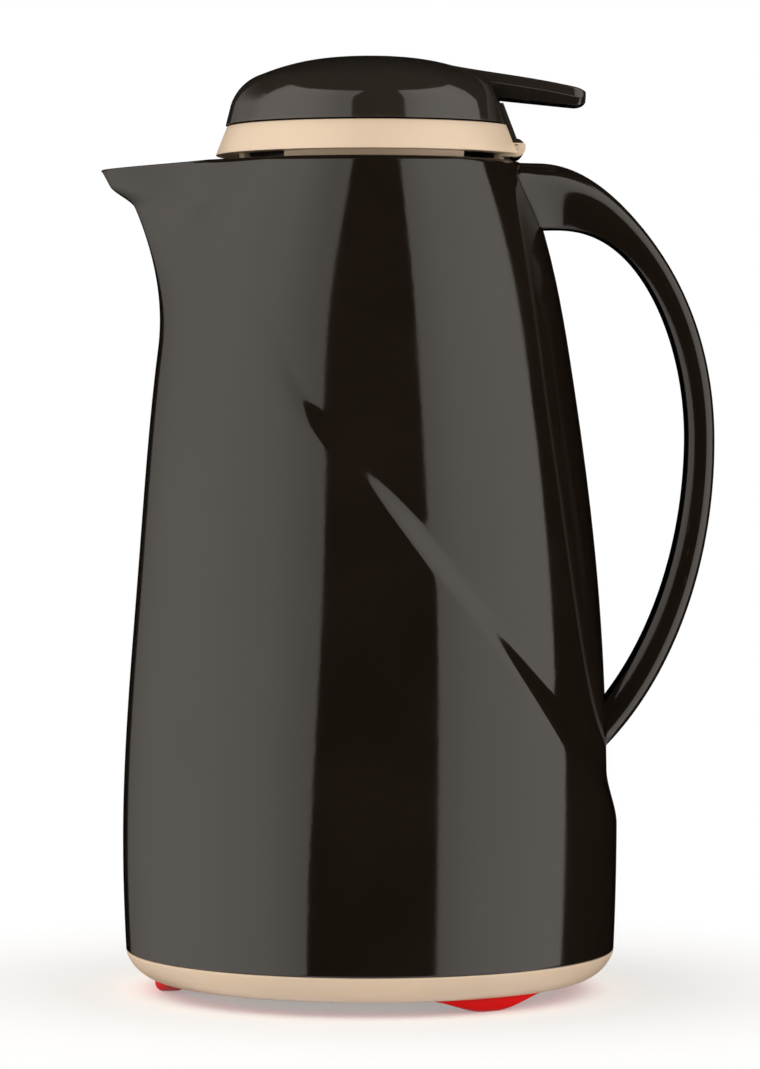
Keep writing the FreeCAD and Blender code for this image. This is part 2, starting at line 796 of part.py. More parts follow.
plug_rib_start = shoulder_bottom.value + SIZES["thread_tall"] / 2 + SIZES["seat_fit"]
collar_rib_start = plug_rib_start + SIZES["thread_tall"] + SIZES["fit"]
collar_inset = SIZES["casing_wall"] + SIZES["fit"]
deck_levels = (deck_bottom.value, deck_top.value)
deck_wires = [casing_wire(lambda angle, level=level: level, collar_inset, False) for level in deck_levels]
collar_deck = feature("collar_deck", Part.makeLoft(deck_wires, True, True))
collar_hole = cylinder("collar_hole", gasket_inner, size("deck_thick") + 2 * OVERRUN, z=deck_bottom - OVERRUN)
sleeve_top = deck_top + size("sleeve_height")
sleeve_outer = cylinder("sleeve_outer", sleeve_radius + size("sleeve_wall"), sleeve_top - deck_bottom,
                        z=deck_bottom)
sleeve_inner = cylinder("sleeve_inner", sleeve_radius, size("sleeve_height") + OVERRUN, z=deck_top)
collar_thread = feature("collar_thread", thread(SIZES["plug_radius"] + SIZES["fit"],
                                                sleeve_radius.value + THREAD_BITE, collar_rib_start))
collar_blank = cut("collar_blank", fuse("collar_solid", collar_deck, sleeve_outer), sleeve_inner, collar_hole)
node("neck_collar", fuse("neck_collar_whole", collar_blank, collar_thread))

# Stopper, gasket and screws

node("stopper_gasket", lathe("stopper_gasket_body", [
    (size("nose_radius") + size("fit"), deck_top + size("seat_fit")),
    (size("plug_radius") - size("seat_fit"), deck_top + size("seat_fit")),
    (size("plug_radius") - size("seat_fit"), shoulder_bottom - size("seat_fit")),
    (size("nose_radius") + size("fit"), shoulder_bottom - size("seat_fit")),
]))

nose_inner = size("nose_radius") - size("plug_wall")
plug_inner = size("plug_radius") - size("plug_wall")
stopper_turned = lathe("stopper_turned", [
    (size("seat_bore"), nose_bottom),
    (size("nose_radius"), nose_bottom),
    (size("nose_radius"), shoulder_bottom),
    (size("plug_radius"), shoulder_bottom),
    (size("plug_radius"), flange_bottom),
    (size("flange_radius"), flange_bottom),
    (size("flange_radius"), lid_deck_bottom),
    (plug_inner, lid_deck_bottom),
    (plug_inner, shoulder_bottom + size("plug_wall")),
    (nose_inner, shoulder_bottom + size("plug_wall")),
    (nose_inner, seat_height),
    (size("seat_bore"), seat_height),
])
plug_thread = feature("plug_thread", thread(SIZES["plug_radius"] - THREAD_BITE,
                                            SIZES["plug_radius"] + SIZES["thread_tall"], plug_rib_start))

OUTLET_TURNS = (120, 180, 240)
STOPPER_SCREW_TURNS = (30, 150, 270)
screw_circle = (size("plug_radius") + size("flange_radius")) / 2


def ring_spots(circle, turns):
    """Places on a circle about Z, as pairs of sizes."""
    return [(circle * math.cos(math.radians(turn)), circle * math.sin(math.radians(turn))) for turn in turns]


def bores(name, radius, spots, bottom, top):
    """Upright holes, as cylinders to cut with, run past both faces."""
    return [cylinder("%s_%d" % (name, index), radius, as_size(top) - bottom + 2 * OVERRUN, x, y,
                     as_size(bottom) - OVERRUN) for index, (x, y) in enumerate(spots)]


def screws(name, spots, seat, tip):
    """Pan-head screws with their heads below the seat and their shanks up to the tip, as one group."""
    pieces = []
    for index, (x, y) in enumerate(spots):
        shank = cylinder("%s_shank_%d" % (name, index), size("screw_radius"), as_size(tip) - seat, x, y, seat)
        head = cylinder("%s_head_%d" % (name, index), size("screw_head"), size("screw_head_thick"), x, y,
                        as_size(seat) - size("screw_head_thick"))
        pieces += [shank, head]
    return fuse(name + "_group", *pieces)


def outlet(turn):
    """A window in the plug's wall, just above the collar's sleeve."""
    wide = SIZES["outlet_width"]
    low = flange_bottom.value - SIZES["fit"] - SIZES["outlet_height"]
    start = FreeCAD.Vector(SIZES["boss_radius"], -wide / 2, low)
    box = Part.makeBox(SIZES["plug_radius"], wide, SIZES["outlet_height"], start)
    return turned_about_z(box, turn)


stopper_spots = ring_spots(screw_circle, STOPPER_SCREW_TURNS)
outlets = feature("outlets", Part.makeCompound([outlet(turn) for turn in OUTLET_TURNS]))
node("stopper_body", cut(
    "stopper_cut", fuse("stopper_whole", stopper_turned, plug_thread), outlets,
    *bores("flange_hole", size("screw_radius") + size("fit"), stopper_spots, flange_bottom, lid_deck_bottom)))
node("stopper_screws", screws("stopper_screw", stopper_spots, flange_bottom, lid_deck_top - size("seat_fit")))

# Lid ring with its deck, skirt and hinge lugs

skirt_inner = size("skirt_radius") - size("skirt_wall")
skirt_bottom = ring_bottom - size("skirt_depth")
ring_inner_top = size("ring_top_radius") - size("ring_wall")
bush_bore = size("bush_radius") + size("running_fit")
lid_turned = lathe("lid_turned", [
    (skirt_inner, skirt_bottom),
    (size("skirt_radius"), skirt_bottom),
    (size("skirt_radius"), ring_bottom),
    (size("ring_bottom_radius"), ring_bottom),
    (size("ring_top_radius"), ring_top),
    (ring_inner_top, ring_top),
    (ring_inner_top, lid_deck_top),
    (bush_bore, lid_deck_top),
    (bush_bore, boss_bottom),
    (size("boss_radius"), boss_bottom),
    (size("boss_radius"), lid_deck_bottom),
    (skirt_inner, lid_deck_bottom),
])

SKIRT_WINDOWS = ((21, 48), (127.5, 154.5), (159.5, 200.5), (205.5, 232.5), (312, 339))
knuckle_half = size("knuckle_length") / 2
lug_inner = knuckle_half + size("fit")
lug_outer = lug_inner + size("lug_width")
lug_top = hinge_z + size("lug_top")
notch_x = size("hinge_x") - size("knuckle_radius") - size("notch_room")
skirt_sill = skirt_bottom + size("skirt_wall")


def skirt_window(index, start, end):
    """An opening in the skirt, from its sill up to the ring, between two angles from the handle."""
    sector = cylinder("window_sector_%d" % index, size("ring_bottom_radius"), ring_bottom - skirt_sill,
                      z=skirt_sill)
    sector.Angle = end - start
    sector.Placement.Rotation = FreeCAD.Rotation(UP, start)
    core = cylinder("window_core_%d" % index, size("flange_radius"), ring_bottom - skirt_sill + 2 * OVERRUN,
                    z=skirt_sill - OVERRUN)
    return cut("skirt_window_%d" % index, sector, core)


def lug(name, side):
    """One hinge lug: a block rooted in the ring, rounded about the pin."""
    low, high = (lug_inner, lug_outer) if side > 0 else (negative(lug_outer), negative(lug_inner))
    root = block(name + "_root", (notch_x, low, hinge_z - size("knuckle_radius")),
                 (size("hinge_x"), high, lug_top))
    barrel = y_cylinder(name + "_barrel", size("knuckle_radius"), lug_outer * 2, size("hinge_x"), hinge_z)
    room = block(name + "_room", (notch_x, low, hinge_z - size("knuckle_radius") * 2),
                 (size("hinge_x") + size("knuckle_radius") * 2, high, lug_top))
    return fuse(name, root, common(name + "_round", barrel, room))


tongue_half = size("tongue_width") / 2
notch_half = tongue_half + size("fit")
upper_notch = block("upper_notch", (notch_x, negative(notch_half), lug_top),
                    (size("ring_bottom_radius") + OVERRUN, notch_half, ring_top + OVERRUN))
lower_notch = block("lower_notch", (notch_x, negative(lug_inner), skirt_bottom - OVERRUN),
                    (size("ring_bottom_radius") + OVERRUN, lug_inner, ring_top + OVERRUN))
lid_windows = [skirt_window(index, *ends) for index, ends in enumerate(SKIRT_WINDOWS)]
lid_blank = cut("lid_blank", lid_turned, upper_notch, lower_notch, *lid_windows)
lid_pin_bore = y_cylinder("lid_pin_bore", size("pin_radius") + size("running_fit"), lug_outer * 2 + 2 * OVERRUN,
                          size("hinge_x"), hinge_z)
lid_lugs = fuse("lid_with_lugs", lid_blank, lug("lug_right", 1), lug("lug_left", -1))
node("lid_ring", cut("lid_ring_cut", lid_lugs, lid_pin_bore,
                     *bores("lid_screw_hole", size("screw_radius") + size("running_fit"), stopper_spots,
                            lid_deck_bottom, lid_deck_top)))
node("hinge_pin", y_cylinder("hinge_pin_rod", size("pin_radius"), lug_outer * 2, size("hinge_x"), hinge_z))

# Cap: a dome with a flat sloping back, a tongue down to the hinge, and the thumb lever

cap_side_top = cap_bottom + size("cap_side")
cap_side_radius = size("cap_radius") - size("cap_draft")
cap_edge_radius = size("cap_radius") - size("cap_shoulder")
cap_edge_top = cap_top - size("cap_crown")
EDGE_OUT = 0.25
EDGE_UP = 0.48
CROWN_SAG = 0.245
SIDE_WALL_DOWN = 0.25
EDGE_WALL_IN = 0.8
EDGE_WALL_DOWN = 0.6
CROWN_WALL_IN = 0.45
CROWN_WALL_DOWN = 0.9
knuckle_top = hinge_z.value + SIZES["knuckle_radius"]


def dome_outline(wall, bottom):
    """The dome's outline, drawn in by a wall."""
    edge_rise = cap_edge_top - cap_side_top
    edge_draw = cap_side_radius - cap_edge_radius
    return [
        (0.0, bottom),
        (size("cap_radius") - wall, bottom),
        (cap_side_radius - wall, cap_side_top - wall * SIDE_WALL_DOWN),
        (cap_side_radius - edge_draw * EDGE_OUT - wall * EDGE_WALL_IN,
         cap_side_top + edge_rise * EDGE_UP - wall * EDGE_WALL_DOWN, "via"),
        (cap_edge_radius - wall * CROWN_WALL_IN, cap_edge_top - wall * CROWN_WALL_DOWN),
        ((cap_edge_radius + size("cap_flat")) / 2, cap_top - size("cap_crown") * CROWN_SAG - wall, "via"),
        (size("cap_flat"), cap_top - wall),
        (0.0, cap_top - wall),
    ]


def back_x(height, depth=0.0):
    """The sloping back's place along X at a height, or that of a plane set in by a depth."""
    lean = SIZES["cap_back_lean"]
    return SIZES["hinge_x"] + SIZES["seat_fit"] - lean * (height - knuckle_top) - depth * math.hypot(1.0, lean)


def behind_back(depth):
    """Everything behind the sloping back, set in by a depth."""
    low = ring_bottom.value - FAR
    high = cap_top.value + FAR
    far = SIZES["lever_reach"] + 2 * FAR
    corners = [(back_x(low, depth), low), (far, low), (far, high), (back_x(high, depth), high)]
    return side_prism(corners, 2 * FAR)


def tongue_form():
    """The back's wall, run down through the ring's notch, and its web to the knuckle."""
    wall = SIZES["cap_wall"]
    top = cap_side_top.value
    low = lug_top.value + SIZES["fit"]
    sheet_corners = [(back_x(low, wall), low), (back_x(low), low), (back_x(top), top), (back_x(top, wall), top)]
    wide = side_prism(sheet_corners, tongue_half.value)
    axis = hinge_z.value
    web = side_prism([(SIZES["hinge_x"] - wall, axis), (SIZES["hinge_x"] + wall / 2, axis),
                      (back_x(knuckle_top), knuckle_top), (back_x(knuckle_top, wall), knuckle_top)],
                     knuckle_half.value)
    return wide.fuse(web)


def lever_form():
    """The thumb lever: a tapering plate with a narrower hull below it and a blunt tip."""
    reach = SIZES["lever_reach"]
    root = SIZES["lever_root_x"]
    slope = SIZES["lever_slope"]
    tip = cap_top.value - SIZES["lever_drop"]
    thick = SIZES["lever_thick"]
    hull = SIZES["lever_hull"]
    blunt = thick / 3.0
    keel_slope = slope / 2.0
    edge = cap_edge_radius.value

    def top(x):
        return tip + slope * (reach - x)

    plate = side_prism([(root, top(root)), (reach - blunt, top(reach - blunt)), (reach, top(reach) - blunt),
                        (reach, top(reach) - thick), (root, top(root) - 2 * thick)], SIZES["lever_width"])
    keel = side_prism([(root, top(root) - blunt), (reach - blunt, top(reach) - blunt),
                       (reach, top(reach) - thick), (reach - thick, top(reach) - hull),
                       (edge, top(reach) - hull + keel_slope * (reach - edge)),
                       (root, top(root) - 2 * thick)],
                      SIZES["lever_hull_width"] / 2)
    half_root = SIZES["lever_width"] / 2
    half_tip = SIZES["lever_tip_width"] / 2
    low = ring_bottom.value
    plan = [(root, -half_root), (reach, -half_tip), (reach, half_tip), (root, half_root), (root, -half_root)]
    outline = Part.makePolygon([FreeCAD.Vector(x, y, low) for x, y in plan])
    taper = Part.Face(outline).extrude(FreeCAD.Vector(0, 0, FAR))
    return plate.common(taper).fuse(keel)


dome_outer = lathe("dome_outer", dome_outline(as_size(0.0), cap_bottom))
dome_inner = lathe("dome_inner", dome_outline(size("cap_wall"), cap_bottom - OVERRUN))
dome_back = feature("dome_back", behind_back(0.0))
dome_back_inner = feature("dome_back_inner", behind_back(SIZES["cap_wall"]))
dome_flat = cut("dome_flat", dome_outer, dome_back)
dome_hollow = cut("dome_hollow", dome_inner, dome_back_inner)
tongue = feature("tongue", tongue_form())
lever = feature("lever", lever_form())
knuckle = y_cylinder("knuckle", size("knuckle_radius"), size("knuckle_length"), size("hinge_x"), hinge_z)
knuckle_bore = y_cylinder("knuckle_bore", size("pin_radius") + size("running_fit"),
                          size("knuckle_length") + 2 * OVERRUN, size("hinge_x"), hinge_z)
cap_solid = fuse("cap_solid", dome_flat, tongue, lever, knuckle)
cap_shelled = cut("cap_shelled", cap_solid, dome_hollow, knuckle_bore)

liner_spots = [(size("boss_x"), size("boss_y")), (size("boss_x"), negative(size("boss_y")))]
boss_rods = [cylinder("cap_boss_%d" % index, size("screw_head"), cap_top - yoke_top, x, y, yoke_top)
             for index, (x, y) in enumerate(liner_spots)]
cap_bosses = common("cap_bosses", fuse("cap_boss_rods", *boss_rods), dome_flat)
liner_screw_tip = liner_bottom + size("screw_length")
node("cap_shell", cut("cap_shell_cut", fuse("cap_with_bosses", cap_shelled, cap_bosses),
                      *bores("cap_screw_hole", size("screw_radius") + size("running_fit"), liner_spots,
                             yoke_top, liner_screw_tip)))

# Cap liner, its screws and the fork that lifts the stem

liner_radius = cap_side_radius - size("cap_wall") - size("fit")
liner_eye = size("stem_head_radius") + size("screw_head")
liner_disc = cylinder("liner_disc", liner_radius, size("liner_thick"), z=liner_bottom)
liner_hole = cylinder("liner_hole", liner_eye, size("liner_thick") + 2 * OVERRUN, z=liner_bottom - OVERRUN)
liner_back = feature("liner_back", behind_back(SIZES["cap_wall"] + SIZES["fit"]))
screw_way = size("screw_radius") + size("fit")
node("cap_liner", cut("cap_liner_cut", liner_disc, liner_hole, liner_back,
                      *bores("liner_screw_hole", screw_way, liner_spots, liner_bottom, liner_top)))
node("liner_screws", screws("liner_screw", liner_spots, liner_bottom, liner_screw_tip))

yoke_half = size("boss_y") + size("yoke_end")
slot_half = size("stem_radius") + size("fit")
cap_swing = 2 * math.sin(math.radians(SIZES["cap_turn"]))
slot_run = (yoke_top - hinge_z) * cap_swing
yoke_plate = block("yoke_plate", (negative(size("yoke_front")), negative(yoke_half), liner_top),
                   (size("yoke_back"), yoke_half, yoke_top))
yoke_slot = block("yoke_slot", (negative(slot_half + slot_run), negative(slot_half), liner_top - OVERRUN),
                  (slot_half, slot_half, yoke_top + OVERRUN))
node("stem_yoke", cut("stem_yoke_cut", yoke_plate, yoke_slot,
                      *bores("yoke_screw_hole", screw_way, liner_spots, liner_top, yoke_top)))

# Valve: bush, stem, disc, seal, clip and spring

stem_bore = size("stem_radius") + size("running_fit")
node("stem_bush", lathe("stem_bush_body", [
    (stem_bore, boss_bottom),
    (size("bush_radius"), boss_bottom),
    (size("bush_radius"), lid_deck_top),
    (size("bush_radius") + size("bush_flange_reach"), lid_deck_top),
    (size("bush_radius") + size("bush_flange_reach"), lid_deck_top + size("bush_flange")),
    (stem_bore, lid_deck_top + size("bush_flange")),
]))

hub_top = disc_top + size("hub_height")
clip_bottom = disc_bottom - size("clip_thick")
groove_radius = size("stem_radius") - size("clip_groove")
node("valve_stem", lathe("valve_stem_body", [
    (0.0, clip_bottom - size("clip_thick")),
    (size("stem_radius"), clip_bottom - size("clip_thick")),
    (size("stem_radius"), clip_bottom),
    (groove_radius, clip_bottom),
    (groove_radius, disc_bottom),
    (size("stem_radius"), disc_bottom),
    (size("stem_radius"), hub_top),
    (size("hub_radius") - size("fit"), hub_top),
    (size("hub_radius") - size("fit"), hub_top + size("clip_thick")),
    (size("stem_radius"), hub_top + size("clip_thick")),
    (size("stem_radius"), head_bottom),
    (size("stem_head_radius"), head_bottom),
    (size("stem_head_radius"), head_bottom + size("stem_head_thick")),
    (0.0, head_bottom + size("stem_head_thick")),
]))
node("stem_clip", lathe("stem_clip_body", [
    (groove_radius + size("running_fit"), clip_bottom),
    (size("hub_radius"), clip_bottom),
    (size("hub_radius"), disc_bottom),
    (groove_radius + size("running_fit"), disc_bottom),
]))
node("valve_disc", lathe("valve_disc_body", [
    (stem_bore, disc_bottom),
    (size("disc_radius"), disc_bottom),
    (size("disc_radius"), disc_top),
    (size("hub_radius"), disc_top),
    (size("hub_radius"), hub_top),
    (stem_bore, hub_top),
]))
node("valve_seal", lathe("valve_seal_body", [
    (size("seat_bore") - size("seal_thick"), seal_bottom),
    (size("disc_radius") - size("seat_fit"), seal_bottom),
    (size("disc_radius") - size("seat_fit"), disc_bottom),
    (size("seat_bore") - size("seal_thick"), disc_bottom),
]))


def spring_form():
    """An open coil spring between the valve's disc and the lid's boss."""
    wire = SIZES["wire_radius"]
    low = disc_top.value + wire + SIZES["seat_fit"]
    high = boss_bottom.value - wire - SIZES["seat_fit"]
    path = Part.makeHelix((high - low) / SIZES["spring_turns"], high - low, SIZES["spring_radius"])
    start = FreeCAD.Vector(SIZES["spring_radius"], 0, 0)
    section = Part.Wire([Part.makeCircle(wire, start, FreeCAD.Vector(0, 1, 0))])
    coil = Part.Wire(path.Edges).makePipeShell([section], True, True)
    coil.translate(FreeCAD.Vector(0, 0, low))
    return coil


node("valve_spring", feature("spring_coil", spring_form()))

# Check every object, then write each sub-part

doc.recompute()
for item in doc.Objects:
    if "Invalid" in item.State or "Error" in item.State:
        raise RuntimeError("%s failed: %s" % (item.Name, item.getStatusString()))
for item in NODES:
    if item.Shape.isNull() or not item.Shape.isValid() or not item.Shape.Solids:
        raise RuntimeError("%s has no valid solid" % item.Label)
for item in NODES:
    item.Shape.exportStep(os.path.join("parts", item.Label + ".step"))
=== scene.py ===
"""Looks of the thermal carafe, laid out as an add-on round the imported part.

Metres, +Z up. The spout points to -X and the handle to +X.
Angles round the axis are in degrees from the handle.
"""
import cmath
import itertools
import json
from math import atan2, cos, degrees, exp, hypot, log1p, pi, radians, sin, sqrt, tan

import bmesh
import bpy
import numpy as np
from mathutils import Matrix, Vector


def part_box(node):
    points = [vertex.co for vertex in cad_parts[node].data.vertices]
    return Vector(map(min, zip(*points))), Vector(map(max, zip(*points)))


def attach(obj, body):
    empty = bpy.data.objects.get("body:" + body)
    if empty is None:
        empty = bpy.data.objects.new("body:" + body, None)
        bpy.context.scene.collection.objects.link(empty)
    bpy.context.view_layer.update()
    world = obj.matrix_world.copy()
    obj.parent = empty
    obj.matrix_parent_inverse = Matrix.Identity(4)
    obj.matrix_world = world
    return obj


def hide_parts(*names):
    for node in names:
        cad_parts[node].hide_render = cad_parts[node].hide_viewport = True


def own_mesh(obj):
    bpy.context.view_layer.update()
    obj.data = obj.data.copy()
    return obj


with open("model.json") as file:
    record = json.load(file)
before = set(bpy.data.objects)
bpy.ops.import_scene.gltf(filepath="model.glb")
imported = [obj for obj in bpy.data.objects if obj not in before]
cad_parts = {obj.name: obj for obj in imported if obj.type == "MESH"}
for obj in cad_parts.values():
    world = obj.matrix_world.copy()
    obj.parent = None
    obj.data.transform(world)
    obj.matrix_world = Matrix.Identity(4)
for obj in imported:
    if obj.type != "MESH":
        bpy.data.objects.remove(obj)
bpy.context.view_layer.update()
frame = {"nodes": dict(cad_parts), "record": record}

bl_info = {
    "name": "Thermal carafe",
    "version": (1, 0, 0),
    "blender": (4, 5, 0),
    "location": "View3D > Sidebar > Carafe",
    "description": "Builds the surfaces, finishes and stage of a thermal carafe round its packed part",
    "category": "Object",
}

casing_low, casing_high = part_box("casing_shell")
cover_low, cover_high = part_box("base_cover")
_, foot_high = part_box("foot_ring")
lid_low, lid_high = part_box("lid_ring")
cap_low, cap_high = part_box("cap_shell")
pin_low, pin_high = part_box("hinge_pin")
spring_low, spring_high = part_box("valve_spring")

FOOT = casing_low.z
RIM = casing_high.z
HINGE = (pin_low + pin_high) / 2


def length(default, note):
    """A size in metres that a user can change."""
    return bpy.props.FloatProperty(
        description=note, default=default, unit="LENGTH", subtype="DISTANCE", precision=5)


def tint(default, note):
    """A colour that a user can change."""
    return bpy.props.FloatVectorProperty(
        description=note, default=default, subtype="COLOR", size=3, min=0.0, max=1.0)


class CarafeSizes(bpy.types.PropertyGroup):
    """Sizes of the surfaces."""

    wall: length(0.0022, "Thickness of the casing's wall")
    rim_round: length(0.0007, "Rounding of the casing's rim")
    spout_reach: length(0.0271, "How far the spout swells out at the rim")
    spout_depth: length(0.052, "How far below the rim the spout starts")
    spout_lip: length(0.0042, "How far the lip stands out past the spout")
    spout_lip_height: length(0.0074, "Height of the lip at the spout's tip")
    spout_lip_blend: length(0.0060, "Height over which the lip grows")
    spout_dip: length(0.0019, "How far the rim falls towards the spout's tip")
    step_depth: length(0.0028, "Depth of the slanted step at the handle")
    step_width: length(0.0155, "Height of the slanted step at the handle")
    step_height: length(0.1432, "Height of the slanted step at the axis")
    handle_width: length(0.020, "Width of the handle")
    handle_thick: length(0.0074, "Thickness of the handle's loop")
    seam: length(0.0003, "Depth of the seams where pieces meet")
    foot_round: length(0.0030, "Rounding of the feet's lower edges")
    ring_round: length(0.0003, "Rounding of the lid ring's edges")
    back_round: length(0.0016, "Rounding of the edges of the cap's flat back")


class CarafeColours(bpy.types.PropertyGroup):
    """Colours of the finishes."""

    casing: tint((0.0125, 0.0085, 0.0060), "Gloss brown-black of the casing and the handle")
    cap: tint((0.0270, 0.0219, 0.0175), "Gloss brown-black of the cap")
    pale: tint((0.85, 0.67, 0.495), "Satin beige of the lid ring and the base")
    red: tint((0.86, 0.006, 0.006), "Soft red of the feet")
    inner: tint((0.030, 0.027, 0.025), "Satin black of the pieces inside")
    silicone: tint((0.58, 0.57, 0.54), "Matt grey of the seals")
    steel: tint((0.60, 0.60, 0.61), "Drawn steel of screws, pin, spring and clip")
    glass: tint((0.86, 0.87, 0.89), "Silvering behind the flask's glass")
    floor: tint((0.86, 0.86, 0.86), "Pale floor")


def sizes():
    return bpy.context.scene.carafe_sizes


def colours():
    return bpy.context.scene.carafe_colours


# Curves and meshes

NEARLY_STRAIGHT = radians(172.0)
CORNER_SHARE = 0.45
WELD = 1e-7
BEVEL_ANGLE = radians(35.0)
BEVEL_SEGMENTS = 2


def ease(share):
    """A smooth run from 0 to 1."""
    share = min(max(share, 0.0), 1.0)
    return share * share * (3.0 - 2.0 * share)


def spaced(low, high, count):
    """Evenly spaced values from the first up to the last, which is left out."""
    return [low + (high - low) * step / count for step in range(count)]


def through(low, high, count):
    """Evenly spaced values with both ends."""
    return spaced(low, high, count) + [high]


def smooth_curve(knots, values):
    """A smooth cubic line through a few values, with a parabola's slope at each end."""
    knots, values = np.array(knots), np.array(values)
    gaps = np.diff(knots)
    rises = np.diff(values) / gaps
    count = len(knots)
    matrix = np.identity(count)
    target = np.zeros(count)
    target[0] = rises[0] + (rises[0] - rises[1]) * gaps[0] / (gaps[0] + gaps[1])
    target[-1] = rises[-1] + (rises[-1] - rises[-2]) * gaps[-1] / (gaps[-1] + gaps[-2])
    for spot in range(1, count - 1):
        before, after = gaps[spot - 1], gaps[spot]
        matrix[spot, spot - 1:spot + 2] = after, 2.0 * (before + after), before
        target[spot] = 3.0 * (after * rises[spot - 1] + before * rises[spot])
    slopes = np.linalg.solve(matrix, target)

    def value(at):
        at = min(max(at, knots[0]), knots[-1])
        spot = min(int(np.searchsorted(knots, at, side="right")) - 1, count - 2)
        share = (at - knots[spot]) / gaps[spot]
        rest = 1.0 - share
        start = values[spot] * (1.0 + 2.0 * share) * rest ** 2
        end = values[spot + 1] * (3.0 - 2.0 * share) * share ** 2
        return start + end + gaps[spot] * share * rest * (slopes[spot] * rest - slopes[spot + 1] * share)

    return value


def soften(outline, radius, steps):
    """A closed outline with each of its corners rounded off."""
    made = []
    for spot, point in enumerate(outline):
        corner = Vector(point)
        before = Vector(outline[spot - 1]) - corner
        after = Vector(outline[(spot + 1) % len(outline)]) - corner
        turn = before.angle(after, pi)
        if turn > NEARLY_STRAIGHT:
            made.append(tuple(corner))
            continue
        longest = CORNER_SHARE * min(before.length, after.length)
        reach = min(radius / tan(turn / 2.0), longest)
        start = corner + before.normalized() * reach
        end = corner + after.normalized() * reach
        for share in through(0.0, 1.0, steps):
            rest = 1 - share
            made.append(tuple(start * rest ** 2 + corner * 2 * share * rest + end * share ** 2))
    return made


def arc_points(start, via, end, steps):
    """Points on the circle through three points of a plane, from the first to the last."""
    first, second, third = (complex(*point) for point in (start, via, end))
    ratio = (third - first) / (second - first)
    centre = first + (second - first) * (ratio - abs(ratio) ** 2) / (2j * ratio.imag)
    arm = first - centre
    sweep = cmath.phase((third - centre) / arm)
    spots = [centre + arm * cmath.exp(1j * turn) for turn in through(0.0, sweep, steps)]
    return [(spot.real, spot.imag) for spot in spots]


def round_point(turn, radius, height):
    direction = radians(turn)
    return radius * cos(direction), radius * sin(direction), height


def skin(rows, loop=False):
    """A mesh over rows of points, each a closed ring; a loop joins the last row to the first."""
    made = bmesh.new()
    rings = [[made.verts.new(point) for point in row] for row in rows]
    pairs = list(zip(rings, rings[1:]))
    if loop:
        pairs.append((rings[-1], rings[0]))
    for lower, upper in pairs:
        for corners in zip(lower, lower[1:] + lower[:1], upper[1:] + upper[:1], upper):
            made.faces.new(corners)
    if not loop:
        for ring in (rings[0][::-1], rings[-1]):
            middle = made.verts.new(sum((vert.co for vert in ring), Vector()) / len(ring))
            for ends in zip(ring, ring[1:] + ring[:1]):
                made.faces.new((*ends, middle))
    return made


def prism(outline, low, high):
    """A closed prism along Y from an outline in the XZ plane."""
    return skin([[(x, y, z) for x, z in outline] for y in (low, high)])


def new_object(name, made):
    """An object in the scene from a finished mesh."""
    mesh = bpy.data.meshes.new(name)
    made.to_mesh(mesh)
    made.free()
    piece = bpy.data.objects.new(name, mesh)
    bpy.context.scene.collection.objects.link(piece)
    return piece


def shade(mesh, sharp_degrees):
    """Smooth but for edges sharper than an angle."""
    mesh.polygons.foreach_set("use_smooth", [True] * len(mesh.polygons))
    mesh.set_sharp_from_angle(angle=radians(sharp_degrees))


def to_object(name, made, sharp_degrees):
    """A piece from a mesh that is cleaned up first."""
    bmesh.ops.dissolve_degenerate(made, edges=made.edges, dist=WELD)
    bmesh.ops.recalc_face_normals(made, faces=made.faces)
    piece = new_object(name, made)
    shade(piece.data, sharp_degrees)
    return piece


def with_modifiers(piece):
    """Put a piece's modifiers into its mesh."""
    bpy.context.view_layer.update()
    graph = bpy.context.evaluated_depsgraph_get()
    mesh = bpy.data.meshes.new_from_object(piece.evaluated_get(graph))
    piece.modifiers.clear()
    piece.data = mesh
    return piece


def bevel(piece, width):
    """Round a piece's edges."""
    step = piece.modifiers.new("edge_rounding", "BEVEL")
    step.width = width
    step.segments = BEVEL_SEGMENTS
    step.limit_method = "ANGLE"
    step.angle_limit = BEVEL_ANGLE
    return with_modifiers(piece)


def unite(piece, others, sharp_degrees):
    """Join other closed pieces into one, and drop them."""
    for other in others:
        step = piece.modifiers.new("join", "BOOLEAN")
        step.operation = "UNION"
        step.solver = "EXACT"
        step.object = other
    with_modifiers(piece)
    for other in others:
        bpy.data.objects.remove(other)
    shade(piece.data, sharp_degrees)


def dress(piece, slot):
    """Give a piece the finish of a slot; all the finishes are made at the first use."""
    if not finishes:
        make_finishes()
    piece.data.materials.clear()
    piece.data.materials.append(finishes[slot])


def settle(piece, body, slot, *nodes):
    """Give a piece its finish and its place in the frame."""
    dress(piece, slot)
    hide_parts(*nodes)
    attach(piece, body)


# Shader nodes, and groups that the finishes share

def node(tree, kind):
    return tree.nodes.new("ShaderNode" + kind)


def put(given, socket):
    """Lead another node's output, or put a plain value or colour, into an input."""
    if isinstance(given, bpy.types.NodeSocket):
        socket.id_data.links.new(given, socket)
    else:
        socket.default_value = (*given, 1.0) if socket.type == "RGBA" else given


def feed(item, **given):
    """Fill a node's inputs by their names, written with lines for spaces."""
    for label, value in given.items():
        put(value, item.inputs[label.replace("_", " ")])


def new_group(name, inputs, outputs):
    """An empty shader group with named sockets."""
    group = bpy.data.node_groups.new(name, "ShaderNodeTree")
    kind = "NodeSocketFloat"
    for label, default in inputs.items():
        socket = group.interface.new_socket(name=label, in_out="INPUT", socket_type=kind)
        socket.default_value = default
    for label in outputs:
        group.interface.new_socket(name=label, in_out="OUTPUT", socket_type=kind)
    return group, group.nodes.new("NodeGroupInput").outputs, group.nodes.new("NodeGroupOutput")


def math_node(tree, operation, *given):
    """The output of a math node; its inputs are sockets or numbers."""
    item = node(tree, "Math")
    item.operation = operation
    for value, socket in zip(given, item.inputs):
        put(value, socket)
    return item.outputs[0]


def times(product, *others):
    """A product of sockets and numbers."""
    for other in others:
        product = math_node(product.id_data, "MULTIPLY", product, other)
    return product


